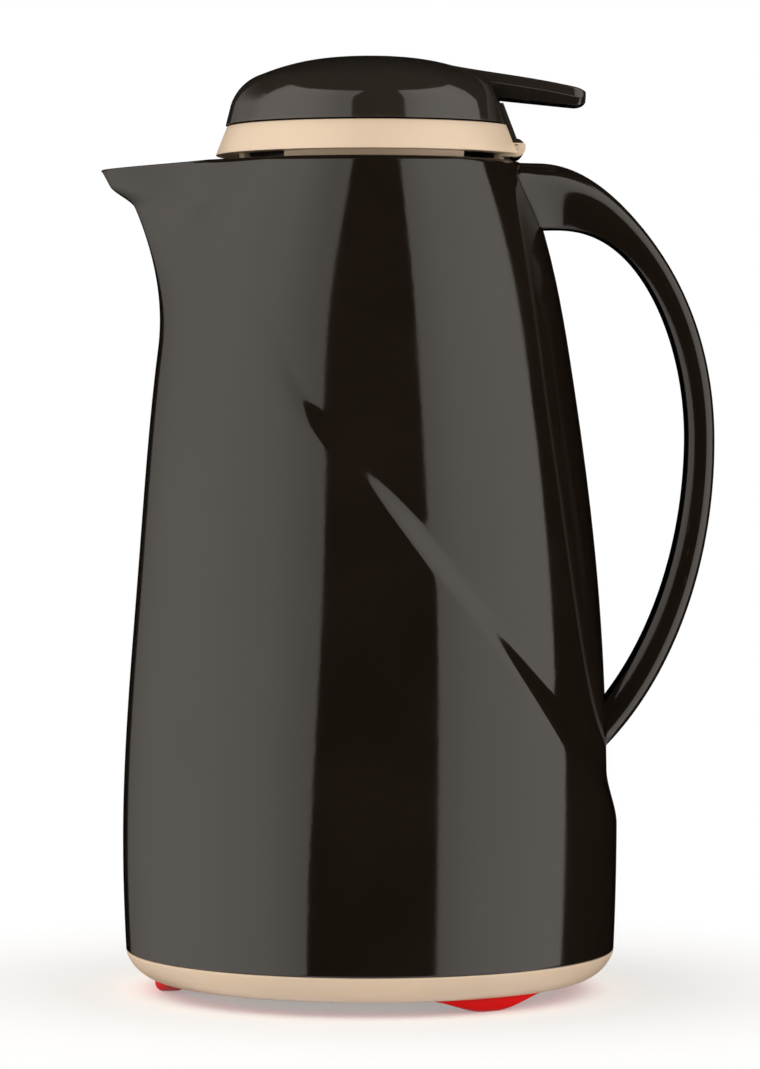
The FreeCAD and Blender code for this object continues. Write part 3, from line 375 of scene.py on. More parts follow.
def range_node(value, low, high, new_low=0.0, new_high=1.0):
    """A soft run between two values over a range."""
    item = node(value.id_data, "MapRange")
    item.interpolation_type = "SMOOTHSTEP"
    feed(item, Value=value, From_Min=low, From_Max=high, To_Min=new_low, To_Max=new_high)
    return item.outputs["Result"]


def noise_node(tree, size, detail, stretch=(1.0, 1.0, 1.0)):
    """Noise of a size in the object's own space, which may be stretched along an axis."""
    mapping, noise = node(tree, "Mapping"), node(tree, "TexNoise")
    feed(mapping, Scale=stretch, Vector=node(tree, "TexCoord").outputs["Object"])
    feed(noise, Vector=mapping.outputs[0], Scale=math_node(tree, "DIVIDE", 1.0, size), Detail=detail)
    return noise.outputs["Fac"]


def grain_group():
    """The fine skin of a moulding, and the slow drift of its tone."""
    inputs = {"Grain Size": 0.0006, "Patch Size": 0.035}
    group, given, made = new_group("moulded_grain", inputs, ("Height", "Tone"))
    slow = noise_node(group, given["Patch Size"], detail=4.0)
    fine = noise_node(group, given["Grain Size"], detail=3.0)
    feed(made, Height=fine, Tone=range_node(slow, low=0.3, high=0.7))


def wear_group():
    """Where edges are rubbed: convex edges, broken up by noise."""
    inputs = {"Start": 0.52, "Full": 0.62, "Break Up": 0.003}
    group, given, made = new_group("edge_wear", inputs, ("Mask",))
    pointed = node(group, "NewGeometry").outputs["Pointiness"]
    edge = range_node(pointed, given["Start"], given["Full"])
    noise = noise_node(group, given["Break Up"], detail=5.0)
    feed(made, Mask=times(edge, range_node(noise, low=0.35, high=0.65, new_low=0.2)))


def dust_group():
    """Where dust and dried drops settle: on faces that look up."""
    group, given, made = new_group("settled_dust", {"Speck Size": 0.002}, ("Mask",))
    split = node(group, "SeparateXYZ")
    feed(split, Vector=node(group, "NewGeometry").outputs["Normal"])
    upward = range_node(split.outputs["Z"], low=0.3, high=0.95)
    noise = noise_node(group, given["Speck Size"], detail=6.0)
    feed(made, Mask=times(upward, range_node(noise, low=0.45, high=0.75)))


def place_group(tree, name, **values):
    """A shared group inside a material, with its own values."""
    item = node(tree, "Group")
    item.node_tree = bpy.data.node_groups[name]
    feed(item, **values)
    return item.outputs


def mixed(mask, first, second):
    """A colour between two, by a mask; either may be a socket."""
    item = node(mask.id_data, "Mix")
    item.data_type = "RGBA"
    for given, socket in zip((mask, first, second), (item.inputs[0], *item.inputs[6:8])):
        put(given, socket)
    return item.outputs[2]


def mixed_shader(mask, first, second, output):
    """Lead two shaders to an output, the second where the mask is full."""
    item = node(mask.id_data, "MixShader")
    for given, socket in zip((mask, first.outputs[0], second.outputs[0]), item.inputs):
        put(given, socket)
    feed(output, Surface=item.outputs[0])


def shaded(colour, factor):
    return tuple(min(channel * factor, 1.0) for channel in colour)


def new_material(name):
    material = bpy.data.materials.new(name)
    material.use_nodes = True
    tree = material.node_tree
    return material, tree, tree.nodes["Principled BSDF"]


def bump(shader, height, strength, distance):
    """Lead a height into a shader's normal."""
    item = node(shader.id_data, "Bump")
    feed(item, Strength=strength, Distance=distance, Height=height)
    feed(shader, Normal=item.outputs[0])


# Finishes. The columns of the table are slot, colour, roughness, size and strength of the grain,
# tone of worn edges, drift of the tone, and other inputs of the shader.

MOULDED = (
    ("casing_gloss", "casing", 0.085, 0.0012, 0.03, 4.0, 0.12, {"IOR": 1.52}),
    ("cap_gloss", "cap", 0.075, 0.0010, 0.03, 4.0, 0.12, {"IOR": 1.54}),
    ("pale_plastic", "pale", 0.34, 0.0007, 0.08, 1.1, 0.03,
     {"Subsurface Weight": 0.08, "Subsurface Radius": (0.002, 0.0012, 0.0007)}),
    ("red_rubber", "red", 0.5, 0.0005, 0.12, 1.25, 0.08, {"Specular IOR Level": 0.12}),
    ("silicone", "silicone", 0.5, 0.0005, 0.1, 1.1, 0.05,
     {"Subsurface Weight": 0.15, "Subsurface Radius": (0.002, 0.002, 0.0018)}),
    ("inner_plastic", "inner", 0.36, 0.0006, 0.1, 2.0, 0.12, {}),
)
ROUGH_LOW = 0.85
ROUGH_HIGH = 1.2
WORN_SHARE = 0.35
WORN_ROUGH = 0.12
DUST_ROUGH = 0.075
GRAIN_DEPTH = 0.25
STEEL_LINES = 1.0 / 900.0
STEEL_STRETCH = (1.0, 1.0, 0.06)
finishes = {}


def moulded(name, colour, rough, grain, strength, worn_tone, drift):
    """A moulded plastic or rubber: drifting tone, fine skin, rubbed edges and a little dust."""
    material, tree, shader = new_material(name)
    skin_group = place_group(tree, "moulded_grain", Grain_Size=grain)
    tone = skin_group["Tone"]
    rubbed = place_group(tree, "edge_wear")["Mask"]
    dusty = place_group(tree, "settled_dust")["Mask"]
    base = mixed(tone, shaded(colour, 1.0 - drift), shaded(colour, 1.0 + drift))
    worn = mixed(times(rubbed, WORN_SHARE), base, shaded(colour, worn_tone))
    smooth = range_node(tone, 0.0, 1.0, rough * ROUGH_LOW, rough * ROUGH_HIGH)
    marked = math_node(tree, "ADD", smooth, times(rubbed, WORN_ROUGH))
    dulled = math_node(tree, "ADD", marked, times(dusty, DUST_ROUGH))
    feed(shader, Base_Color=worn, Roughness=dulled)
    bump(shader, skin_group["Height"], strength, grain * GRAIN_DEPTH)
    return material, shader


def steel_finish(colour):
    """Drawn steel: fine lines along the drawing direction."""
    material, tree, shader = new_material("drawn_steel")
    lines = noise_node(tree, STEEL_LINES, detail=2.0, stretch=STEEL_STRETCH)
    base = mixed(lines, shaded(colour, factor=0.86), shaded(colour, factor=1.08))
    rough = range_node(lines, low=0.2, high=0.8, new_low=0.16, new_high=0.34)
    feed(shader, Base_Color=base, Roughness=rough, Metallic=1.0)
    bump(shader, lines, strength=0.15, distance=0.00005)
    return material


def glass_finish(colour):
    """Silvered glass: a mirror with faint clouds in its silvering."""
    material, tree, shader = new_material("silvered_glass")
    skin_group = place_group(tree, "moulded_grain", Grain_Size=0.004, Patch_Size=0.05)
    tone = skin_group["Tone"]
    base = mixed(tone, shaded(colour, factor=0.9), colour)
    rough = range_node(tone, low=0.0, high=1.0, new_low=0.03, new_high=0.08)
    feed(shader, Base_Color=base, Roughness=rough, Metallic=1.0, Coat_Weight=1.0)
    bump(shader, skin_group["Height"], strength=0.04, distance=0.0004)
    return material


def make_finishes():
    """One material for each slot of the record."""
    grain_group()
    wear_group()
    dust_group()
    given = colours()
    for slot, colour, *values, others in MOULDED:
        finishes[slot], shader = moulded(slot, getattr(given, colour), *values)
        feed(shader, **others)
    finishes["steel"] = steel_finish(given.steel)
    finishes["flask_glass"] = glass_finish(given.glass)


# Casing form: one radius for every angle and height

FORM_SHARES = (0.0, 0.15, 0.48, 0.735, 0.888, 1.0)
FRONT_RADII = (0.0680, 0.0689, 0.0647, 0.0599, 0.0539, 0.0450)
BACK_RADII = (0.0680, 0.0689, 0.0662, 0.0592, 0.0528, 0.0450)
STEP_SLOPE = 1.121
STEP_BOW = 2.6
STEP_START = -0.028
STEP_SOFT = 0.004
STEP_TRIES = 8
STEP_FADE_RUN = 170.0
STEP_NARROW = 0.56
STEP_NARROW_ANGLE = 121.0
STEP_SPREAD = 6.0
STEP_SPREAD_ANGLE = 106.0
STEP_SPREAD_RUN = 22.0
SPOUT_ANGLE = 65.0
SPOUT_TIP_ANGLE = 11.0
SPOUT_FOOT_ANGLE = 24.0
SPOUT_LIP_START = 1.69
LIP_TALL = 2.0
HALF_TURNS = ((0.0, 135.0, 90), (135.0, 165.0, 30), (165.0, 180.0, 30))
OUTSIDE_ROWS = (46, 26, 26, 26)
EDGE_ROWS = 5
INSIDE_ROWS = 40

form_heights = [FOOT + share * (RIM - FOOT) for share in FORM_SHARES]
front_radius = smooth_curve(form_heights, FRONT_RADII)
back_radius = smooth_curve(form_heights, BACK_RADII)


def plain_radius(angle, height):
    """The casing's radius without its spout and step."""
    spoutward = (1.0 - cos(radians(angle))) / 2.0
    return back_radius(height) * (1.0 - spoutward) + front_radius(height) * spoutward


def step_line(angle):
    """The height of the slanted step's middle line at an angle."""
    height = sizes().step_height
    for _ in range(STEP_TRIES):
        across = plain_radius(angle, height) * cos(radians(angle))
        across = STEP_START + STEP_SOFT * log1p(exp((across - STEP_START) / STEP_SOFT))
        height = sizes().step_height - (STEP_SLOPE + STEP_BOW * across) * across
    return height


def step_tall(angle):
    """The height that the step takes: it narrows from the handle on, and spreads out at its end."""
    narrow = STEP_NARROW + (1.0 - STEP_NARROW) * ease((STEP_NARROW_ANGLE - angle) / STEP_NARROW_ANGLE)
    spread = 1.0 + STEP_SPREAD * ease((angle - STEP_SPREAD_ANGLE) / STEP_SPREAD_RUN)
    return sizes().step_width * narrow * spread


def step_fall(angle, above):
    """How far the casing is set back at a height above the step's middle line."""
    depth = sizes().step_depth * ease((180.0 - angle) / STEP_FADE_RUN)
    return depth * ease(above / step_tall(angle) + 0.5)


def spout_swell(angle, height, with_lip):
    """How far the pinched spout stands out."""
    given = sizes()
    drop = max(RIM - height, 0.0)
    below = drop / given.spout_depth
    aside = 180.0 - angle
    if below >= 1.0 or aside >= SPOUT_ANGLE:
        return 0.0
    narrow = SPOUT_TIP_ANGLE + (SPOUT_FOOT_ANGLE - SPOUT_TIP_ANGLE) * below
    bell = cos(radians(90.0 * aside / SPOUT_ANGLE)) ** 2 / (1.0 + (aside / narrow) ** 2)
    swell = given.spout_reach * (1.0 - below) ** 2
    if with_lip:
        lip_foot = SPOUT_LIP_START * given.spout_lip_height
        swell += given.spout_lip * ease((lip_foot - drop) / given.spout_lip_blend)
    return swell * bell


def casing_radius(angle, height, crease, with_lip=True):
    """The casing's outside radius."""
    plain = plain_radius(angle, height) + spout_swell(angle, height, with_lip)
    return plain - step_fall(angle, height - crease)


def rim_at(angle, crease):
    """The rim's height, which falls towards the spout's tip."""
    given = sizes()
    reach = given.spout_reach + given.spout_lip
    across = casing_radius(angle, RIM, crease) * cos(radians(angle))
    return RIM - given.spout_dip * min(max((-FRONT_RADII[-1] - across) / reach, 0.0), 1.0)


def casing_column(angle):
    """Radii and heights of the shell: up the outside, over the rounded rim and down the inside."""
    given = sizes()
    edge = given.rim_round
    crease = step_line(angle)
    rim = rim_at(angle, crease)
    half_step = step_tall(angle) / 2
    marks = (FOOT + given.seam, crease - half_step, crease + half_step,
             rim - LIP_TALL * given.spout_lip_height, rim - edge)
    heights = [height for span in zip(marks, marks[1:], OUTSIDE_ROWS) for height in spaced(*span)]
    heights.append(rim - edge)
    heights.insert(1, FOOT + 2 * given.seam)
    column = [(casing_radius(angle, FOOT, crease) - given.seam, FOOT)]
    column += [(casing_radius(angle, height, crease), height) for height in heights]
    outer = casing_radius(angle, rim, crease)
    inner = casing_radius(angle, rim, crease, False) - given.wall
    quarter = through(0.0, pi / 2, EDGE_ROWS)[1:]
    rise = [(edge * (1 - cos(part)), edge * (1 - sin(part))) for part in quarter]
    column += [(outer - back, rim - fall) for back, fall in rise]
    column += [(inner + back, rim - fall) for fall, back in rise]
    for height in through(rim - edge, FOOT, INSIDE_ROWS)[1:]:
        column.append((casing_radius(angle, height, crease, False) - given.wall, height))
    return column


def casing_mesh():
    """The whole shell, with its columns closest at the spout."""
    half = [turn for span in HALF_TURNS for turn in spaced(*span)]
    columns = []
    for turn in half + [180.0] + [360.0 - turn for turn in reversed(half[1:])]:
        column = casing_column(min(turn, 360.0 - turn))
        columns.append([round_point(turn, *spot) for spot in column])
    return skin(list(zip(*columns)), loop=True)


# Handle: two parts of ellipses that meet where it reaches furthest.
# Each has its middle, its height, the thickness at its end, and the power by which it swells to that.

HANDLE_REACH = 0.0921
HANDLE_TOP = 0.2210
HANDLE_MIDDLE = 0.1535
HANDLE_ROOT_X = 0.047
HANDLE_ROOT_SUNK = 0.007
HANDLE_ROOT_THICK = 0.0182
UPPER_LOOP = (HANDLE_ROOT_X, HANDLE_TOP - HANDLE_MIDDLE, HANDLE_ROOT_THICK, 10)
LOWER_LOOP = (0.022, 0.101, 0.0088, 1)
HANDLE_END = 150.0
ROOT_STEPS = 20
LOOP_STEPS = 600
HANDLE_ROWS = 150
CORNER_STEPS = 14
SIDE_STEPS = 4
HANDLE_CREST = 0.2
HANDLE_OUTER_ARCS = ((90.0, 1.0),)
HANDLE_INNER_ARCS = ((12.0, -0.2), (22.0, -0.95), (90.0, -1.0))
HANDLE_SEAM = ((0.0, 1.0), (1.0, 0.5), (2.5, 0.0))
SEAM_RUN = 5
ROOT_FLARE = 0.007
ROOT_FLARE_RUN = 0.018
SEARCH_STEPS = 22


def handle_line():
    """Places, leans and thicknesses along the handle's middle line, with the length run so far."""
    thin = sizes().handle_thick
    sunk = spaced(HANDLE_ROOT_X - HANDLE_ROOT_SUNK, HANDLE_ROOT_X, ROOT_STEPS)
    spots = [(x, HANDLE_TOP, 0.0, HANDLE_ROOT_THICK) for x in sunk]
    for turn in spaced(0.0, 90.0, LOOP_STEPS) + through(90.0, HANDLE_END, LOOP_STEPS):
        middle, tall, thick, swell = UPPER_LOOP if turn < 90.0 else LOWER_LOOP
        wide = HANDLE_REACH - middle
        sine, cosine = sin(radians(turn)), cos(radians(turn))
        spots.append((middle + wide * sine, HANDLE_MIDDLE + tall * cosine,
                      atan2(-tall * sine, wide * cosine),
                      thin + (thick - thin) * abs(cosine) ** swell))
    line = np.array(spots)
    line[:, 2] = np.unwrap(line[:, 2])
    run = np.concatenate([[0.0], np.cumsum(np.hypot(np.diff(line[:, 0]), np.diff(line[:, 1])))])
    return run, line


def crown_side(arcs):
    """Points from the crest along arcs that meet smoothly, as shares of the half thickness."""
    spots = [(HANDLE_CREST, 0.0)]
    angle = 0.0
    for end_angle, end_out in arcs:
        out, fall = spots[-1]
        first, last = radians(angle), radians(end_angle)
        reach = (end_out - out) / (sin(last) - sin(first))
        for part in through(first, last, CORNER_STEPS)[1:]:
            spots.append((out + reach * (sin(part) - sin(first)),
                          fall + abs(reach) * (cos(first) - cos(part))))
        angle = end_angle
    return spots


def handle_profile():
    """The section's outline as (out, down, share of the side), from the outer edge round."""
    outer, inner = crown_side(HANDLE_OUTER_ARCS), crown_side(HANDLE_INNER_ARCS)
    side = outer[::-1] + inner[1:]
    across = spaced(1.0, -1.0, SIDE_STEPS)[1:]
    spots = [(*spot, 1.0) for spot in side]
    spots += [(*inner[-1], share) for share in across]
    spots += [(*spot, -1.0) for spot in reversed(side)]
    spots += [(*outer[-1], -share) for share in across]
    return spots


def handle_mesh():
    """The loop, whose lengthwise lines run from the casing's surface round to the casing again."""
    given = sizes()
    run, line = handle_line()

    def place(spot, at, pinch):
        x, z, lean, thick = (np.interp(at, run, line[:, part]) for part in range(4))
        half_thick = thick / 2 - pinch
        flare = ROOT_FLARE * max(1.0 - at / (HANDLE_ROOT_SUNK + ROOT_FLARE_RUN), 0.0) ** 2
        out, fall, share = spot
        aside = share * (given.handle_width / 2 + flare - pinch - fall * half_thick)
        return x - sin(lean) * out * half_thick, aside, z + cos(lean) * out * half_thick

    def outside(point):
        x, y, z = point
        angle = abs(degrees(atan2(y, x)))
        return hypot(x, y) > casing_radius(angle, z, step_line(angle)) - given.seam

    def meeting(spot, inner, outer):
        for _ in range(SEARCH_STEPS):
            middle = (inner + outer) / 2
            if outside(place(spot, middle, 0.0)):
                outer = middle
            else:
                inner = middle
        return outer

    far = run[len(run) // 2]
    seam = [(along * given.seam, pinch * given.seam) for along, pinch in HANDLE_SEAM]
    lines = []
    for spot in handle_profile():
        start, end = meeting(spot, 0.0, far), meeting(spot, run[-1], far)
        first, last = start + SEAM_RUN * given.seam, end - SEAM_RUN * given.seam
        marks = [(start + along, pinch) for along, pinch in seam]
        marks += [(at, 0.0) for at in through(first, last, HANDLE_ROWS)]
        marks += [(end - along, pinch) for along, pinch in reversed(seam)]
        lines.append([place(spot, *mark) for mark in marks])
    return skin(list(zip(*lines)))


# Base cover and feet

FOOT_ANGLES = (64.0, 184.0, 304.0)
FOOT_HALF_PAD = 0.0018
FOOT_HALF_LENGTH = 0.020
FOOT_TURNS = 720
ROUND_STEPS = 5
RING_INNER = 0.052
RING_OUTER = foot_high.x
COVER_ROUND = 0.007
COVER_ROUND_OUT = 0.43
COVER_ROUND_UP = 0.32
COVER_ROUND_STEPS = 24
COVER_WALL = 0.0024
COVER_CLEAR = 0.0003
COVER_EDGE = 0.0003
COVER_TURNS = 256
BUFFER_SEAT = 0.0173


def cover_mesh():
    """The pale base: a dished cover with a groove for the feet, a spigot and the buffer's seat."""
    given = sizes()
    low = cover_low.z
    side = cover_high.x
    groove = foot_high.z
    groove_in, groove_out = RING_INNER - COVER_CLEAR, RING_OUTER + COVER_CLEAR
    floor = groove + COVER_WALL
    spigot = side - given.wall - COVER_CLEAR
    spigot_in = spigot - COVER_WALL
    seat_out, seat_top = BUFFER_SEAT + COVER_WALL, floor + COVER_WALL
    start = (side - COVER_ROUND, low)
    via = (side - COVER_ROUND * COVER_ROUND_OUT, low + (FOOT - low) * COVER_ROUND_UP)
    outline = [(0.0, low), (groove_in, low), (groove_in, groove), (groove_out, groove), (groove_out, low)]
    outline += arc_points(start, via, (side, FOOT - given.seam), COVER_ROUND_STEPS)
    outline += [(side - given.seam, FOOT), (spigot, FOOT), (spigot, cover_high.z), (spigot_in, cover_high.z),
                (spigot_in, floor), (seat_out, floor), (seat_out, seat_top), (BUFFER_SEAT, seat_top),
                (BUFFER_SEAT, floor), (0.0, floor)]
    turns = spaced(0.0, 360.0, COVER_TURNS)
    made = skin([[round_point(turn, *spot) for turn in turns] for spot in outline], loop=True)
    bmesh.ops.remove_doubles(made, verts=made.verts, dist=WELD)
    return made


def foot_bottom(turn):
    """The height of the foot ring's underside: three smooth waves that end in flat pads."""
    away = min(abs((turn - foot + 180.0) % 360.0 - 180.0) for foot in FOOT_ANGLES)
    along = radians(away) * (RING_INNER + RING_OUTER) / 2
    return cover_low.z * ease((along - FOOT_HALF_PAD) / (FOOT_HALF_LENGTH - FOOT_HALF_PAD))


def foot_mesh():
    """The red ring with its three wave-shaped feet."""
    rows = []
    top = foot_high.z
    for turn in spaced(0.0, 360.0, FOOT_TURNS):
        low = foot_bottom(turn)
        section = [(RING_INNER, low), (RING_OUTER, low), (RING_OUTER, top), (RING_INNER, top)]
        section = soften(section, sizes().foot_round, ROUND_STEPS)
        rows.append([round_point(turn, *spot) for spot in section])
    return skin(rows, loop=True)


# Lid ring, cut from cells between angles, radii and heights

SKIRT_WINDOWS = ((21.0, 48.0), (127.5, 154.5), (159.5, 200.5), (205.5, 232.5), (312.0, 339.0))
RING_BOTTOM = RIM + 0.0019
RING_TOP = lid_high.z
RING_LOW_RADIUS = 0.0431
RING_TOP_RADIUS = 0.0399
RING_WALL_IN = RING_TOP_RADIUS - 0.0022
SKIRT_OUTER = 0.0386
SKIRT_INNER = 0.0366
SKIRT_SILL = lid_low.z + 0.002
LID_DECK_TOP = RING_TOP - 0.003
LID_DECK_LOW = LID_DECK_TOP - 0.0025
BUSH_BORE = 0.00505
DECK_RADII = (0.012, 0.024)
KNUCKLE = 0.0026
LUG_TOP = HINGE.z + 0.0012
LUG_BACK = HINGE.x - 0.0045
LUG_LOW = 0.0103
LUG_HIGH = 0.0137
LUG_STEPS = 24
NOTCH_WIDE = 18.8
NOTCH_NARROW = 14.9
RING_TURNS = 180
SQUARE = ((0, 0), (1, 0), (1, 1), (0, 1))


def cone_radius(height):
    share = (height - RING_BOTTOM) / (RING_TOP - RING_BOTTOM)
    return RING_LOW_RADIUS + (RING_TOP_RADIUS - RING_LOW_RADIUS) * share


def is_ring(turn, radius, height):
    """Whether the lid ring has material in the cell round a place."""
    aside = min(turn, 360.0 - turn)
    if radius > SKIRT_INNER and (aside < NOTCH_NARROW or (aside < NOTCH_WIDE and height > LUG_TOP)):
        return False
    if height < LID_DECK_LOW and radius < SKIRT_INNER:
        return False
    if height < RING_BOTTOM:
        in_window = any(start < turn < end for start, end in SKIRT_WINDOWS)
        return radius < SKIRT_OUTER and not (in_window and height > SKIRT_SILL)
    if height > LID_DECK_TOP:
        return radius > RING_WALL_IN
    return True


def ring_mesh():
    """The lid ring with its deck, skirt, windows and hinge notch; None stands for the cone outside."""
    turns = set(spaced(0.0, 360.0, RING_TURNS))
    turns |= {edge for window in SKIRT_WINDOWS for edge in window}
    turns |= {NOTCH_NARROW, NOTCH_WIDE, 360.0 - NOTCH_NARROW, 360.0 - NOTCH_WIDE}
    turns = sorted(turns)
    radii = [BUSH_BORE, *DECK_RADII, SKIRT_INNER, RING_WALL_IN, SKIRT_OUTER, None]
    heights = [lid_low.z, SKIRT_SILL, RING_BOTTOM, LID_DECK_LOW, LUG_TOP, LID_DECK_TOP, RING_TOP]
    made = bmesh.new()
    verts = {}

    def corner(spot, across, level):
        key = (spot % len(turns), across, level)
        if key not in verts:
            height = heights[level]
            radius = radii[across] or cone_radius(height)
            verts[key] = made.verts.new(round_point(turns[key[0]], radius, height))
        return verts[key]

    def filled(spot, across, level):
        if not (0 <= across < len(radii) - 1 and 0 <= level < len(heights) - 1):
            return False
        start, end = (turns[edge % len(turns)] for edge in (spot, spot + 1))
        height = (heights[level] + heights[level + 1]) / 2
        outer = radii[across + 1] or cone_radius(height)
        return is_ring(start + (end - start) % 360.0 / 2, (radii[across] + outer) / 2, height)

    for cell in itertools.product(range(len(turns)), range(len(radii) - 1), range(len(heights) - 1)):
        for axis, end in itertools.product(range(3), (0, 1)):
            beside = list(cell)
            beside[axis] += 2 * end - 1
            if filled(*cell) and not filled(*beside):
                spots = [np.add(cell, (*pair[:axis], end, *pair[axis:])) for pair in SQUARE]
                made.faces.new([corner(*spot) for spot in spots])
    return made


def barrel(start, end, steps):
    """Points round the hinge's knuckle between two angles."""
    turns = through(radians(start), radians(end), steps)
    return [(HINGE.x + KNUCKLE * cos(turn), HINGE.z + KNUCKLE * sin(turn)) for turn in turns]


def lug_outline():
    """A hinge lug: a block rooted in the ring, rounded about the pin."""
    front = [(x, min(z, LUG_TOP)) for x, z in barrel(-90.0, 90.0, LUG_STEPS)]
    return [(LUG_BACK, HINGE.z - KNUCKLE)] + front + [(LUG_BACK, LUG_TOP)]


# Cap: a dome with a flat sloping back, a tongue down to the hinge, and the thumb lever

CAP_RADIUS = -cap_low.x
CAP_BOTTOM = RING_TOP + 0.0004
CAP_TOP = cap_high.z
CAP_SIDE = 0.0056
CAP_DRAFT = 0.0014
CAP_SHOULDER = 0.0098
CAP_CROWN = 0.0049
CAP_FLAT = 0.006
CAP_WALL = 0.002
EDGE_OUT = 0.25
EDGE_UP = 0.48
CROWN_SAG = 0.245
CROWN_SHARES = (0.66, 0.33)
SIDE_INSET = 0.25
VIA_INSET = (0.8, 0.6)
SHOULDER_INSET = (0.45, 0.9)
DOME_ROWS = (8, 22, 26)
DOME_TURNS = 288
BACK_LEAN = 0.377
BACK_SHIFT = 0.0001
BACKWARD = 0.05
FAR_FROM_BACK = 40.0
TONGUE_HALF = 0.0127
TONGUE_CLEAR = 0.0003
TONGUE_ROUND = 0.0003
TONGUE_STEPS = 3
KNUCKLE_HALF = 0.010
WEB_RISE = 0.001
WEB_SUNK = 0.0002
WEB_ARC = (110.0, -200.0)
WEB_STEPS = 48
LEVER_ROOT = 0.014
LEVER_START = 0.019
LEVER_BLEND = 0.034
LEVER_RISE = 0.030
LEVER_SUNK = 0.0001
LEVER_SETTLE = 0.0013
LEVER_REACH = cap_high.x
LEVER_SLOPE = 0.2034
LEVER_TIP = CAP_TOP - 0.0094
LEVER_HALF_ROOT = 0.015
LEVER_HALF_TIP = 0.0115
LEVER_THICK = 0.0028
LEVER_DRAFT = 0.0002
LEVER_ROUND = 0.0009
LEVER_HULL = 0.0046
LEVER_ROWS = 40
HULL_HALF = 0.0075
HULL_MARGIN = 0.002
HULL_DEPTH = 0.0006
HULL_PINCH = 0.4
HULL_BLUNT = 1.6
NOSE_LENGTH = 0.004
NOSE_PINCH = 0.0034
NOSE_BLUNT = 0.0007
NOSE_ROWS = 10


def dome_profile(wall):
    """Radii and heights from the dome's lower edge to its top, drawn in by a wall."""
    side_rows, edge_rows, crown_rows = DOME_ROWS
    side, side_top = CAP_RADIUS - CAP_DRAFT, CAP_BOTTOM + CAP_SIDE
    edge, edge_top = CAP_RADIUS - CAP_SHOULDER, CAP_TOP - CAP_CROWN
    rim_side = (side - wall, side_top - wall * SIDE_INSET)
    via = (side - (side - edge) * EDGE_OUT - wall * VIA_INSET[0],
           side_top + (edge_top - side_top) * EDGE_UP - wall * VIA_INSET[1])
    shoulder = (edge - wall * SHOULDER_INSET[0], edge_top - wall * SHOULDER_INSET[1])
    crown_via = ((edge + CAP_FLAT) / 2, CAP_TOP - CAP_CROWN * CROWN_SAG - wall)
    profile = list(zip(spaced(CAP_RADIUS - wall, rim_side[0], side_rows),
                       spaced(CAP_BOTTOM, rim_side[1], side_rows)))
    profile += arc_points(rim_side, via, shoulder, edge_rows)[:-1]
    profile += arc_points(shoulder, crown_via, (CAP_FLAT, CAP_TOP - wall), crown_rows)
    return profile + [(CAP_FLAT * share, CAP_TOP - wall) for share in CROWN_SHARES]


def back_x(height, depth=0.0):
    """The sloping back's place along X at a height, set in by a depth."""
    above = height - HINGE.z - KNUCKLE
    return HINGE.x + BACK_SHIFT - BACK_LEAN * above - depth * hypot(1.0, BACK_LEAN)


def dome_row(radius, height, depth):
    """One ring of the dome, trimmed by its flat back with a soft edge."""
    soft = sizes().back_round
    plane = back_x(height, depth)
    row = []
    for turn in spaced(0.0, 360.0, DOME_TURNS):
        across = cos(radians(turn))
        reach = radius
        if across > BACKWARD:
            limit = plane / across
            gap = min((limit - radius) / soft, FAR_FROM_BACK)
            reach = min(limit - soft * log1p(exp(gap)), radius)
        row.append(round_point(turn, reach, height))
    return row


def dome_mesh():
    """The dome as a shell, from the top inside down and up again outside."""
    inside = [dome_row(*spot, CAP_WALL) for spot in dome_profile(CAP_WALL)]
    return skin(inside[::-1] + [dome_row(*spot, 0.0) for spot in dome_profile(0.0)])


def lever_mesh():
    """The thumb lever: a tapering plate over a narrower hull, which comes out of the dome bit by bit."""
    crown = list(zip(*dome_profile(0.0)[::-1]))
    nose_start = LEVER_REACH - NOSE_LENGTH
    stations = through(LEVER_ROOT, nose_start, LEVER_ROWS)
    stations += [nose_start + NOSE_LENGTH * sin(part) for part in through(0.0, pi / 2, NOSE_ROWS)[1:]]
    rows = []
    for x in stations:
        to_tip = LEVER_REACH - x
        along = (x - LEVER_ROOT) / (LEVER_REACH - LEVER_ROOT)
        out = ease((x - LEVER_START) / LEVER_BLEND)
        nose = max((x - nose_start) / NOSE_LENGTH, 0.0)
        pinch = NOSE_PINCH * (1 - sqrt(max(1 - nose ** 2, 0.0)))
        blunt = NOSE_BLUNT * nose ** 3
        half = LEVER_HALF_ROOT + (LEVER_HALF_TIP - LEVER_HALF_ROOT) * along - pinch
        hull = min(HULL_HALF, half - HULL_MARGIN) - pinch * HULL_PINCH
        top = LEVER_TIP + LEVER_SLOPE * to_tip - blunt - LEVER_SETTLE * (1 - out)
        plate = top - LEVER_THICK + 2 * blunt
        bottom = LEVER_TIP - LEVER_HULL + LEVER_SLOPE / 2 * to_tip + HULL_BLUNT * blunt
        bottom = min(bottom, plate - HULL_DEPTH)
        side = [(half, top), (half - LEVER_DRAFT, plate), (hull, bottom)]
        outline = [(-half, top)] + side + [(-y, z) for y, z in side[:0:-1]]
        clear = LEVER_RISE * out - LEVER_SUNK
        outline = soften(outline, LEVER_ROUND, ROUND_STEPS)
        rows.append([(x, y, min(z, np.interp(hypot(x, y), *crown) + clear)) for y, z in outline])
    return skin(rows)


def tongue_outline():
    """The back's wall, run down behind the ring."""
    top = CAP_BOTTOM + CAP_SIDE
    low = LUG_TOP + TONGUE_CLEAR
    outline = [(back_x(low, CAP_WALL), low), (back_x(low), low), (back_x(top), top),
               (back_x(top, CAP_WALL), top)]
    return soften(outline, TONGUE_ROUND, TONGUE_STEPS)


def web_outline():
    """The web from the tongue to the knuckle, and the knuckle itself."""
    top = HINGE.z + KNUCKLE + WEB_RISE
    return [(back_x(top, CAP_WALL), top), (back_x(top) - WEB_SUNK, top)] + barrel(*WEB_ARC, WEB_STEPS)
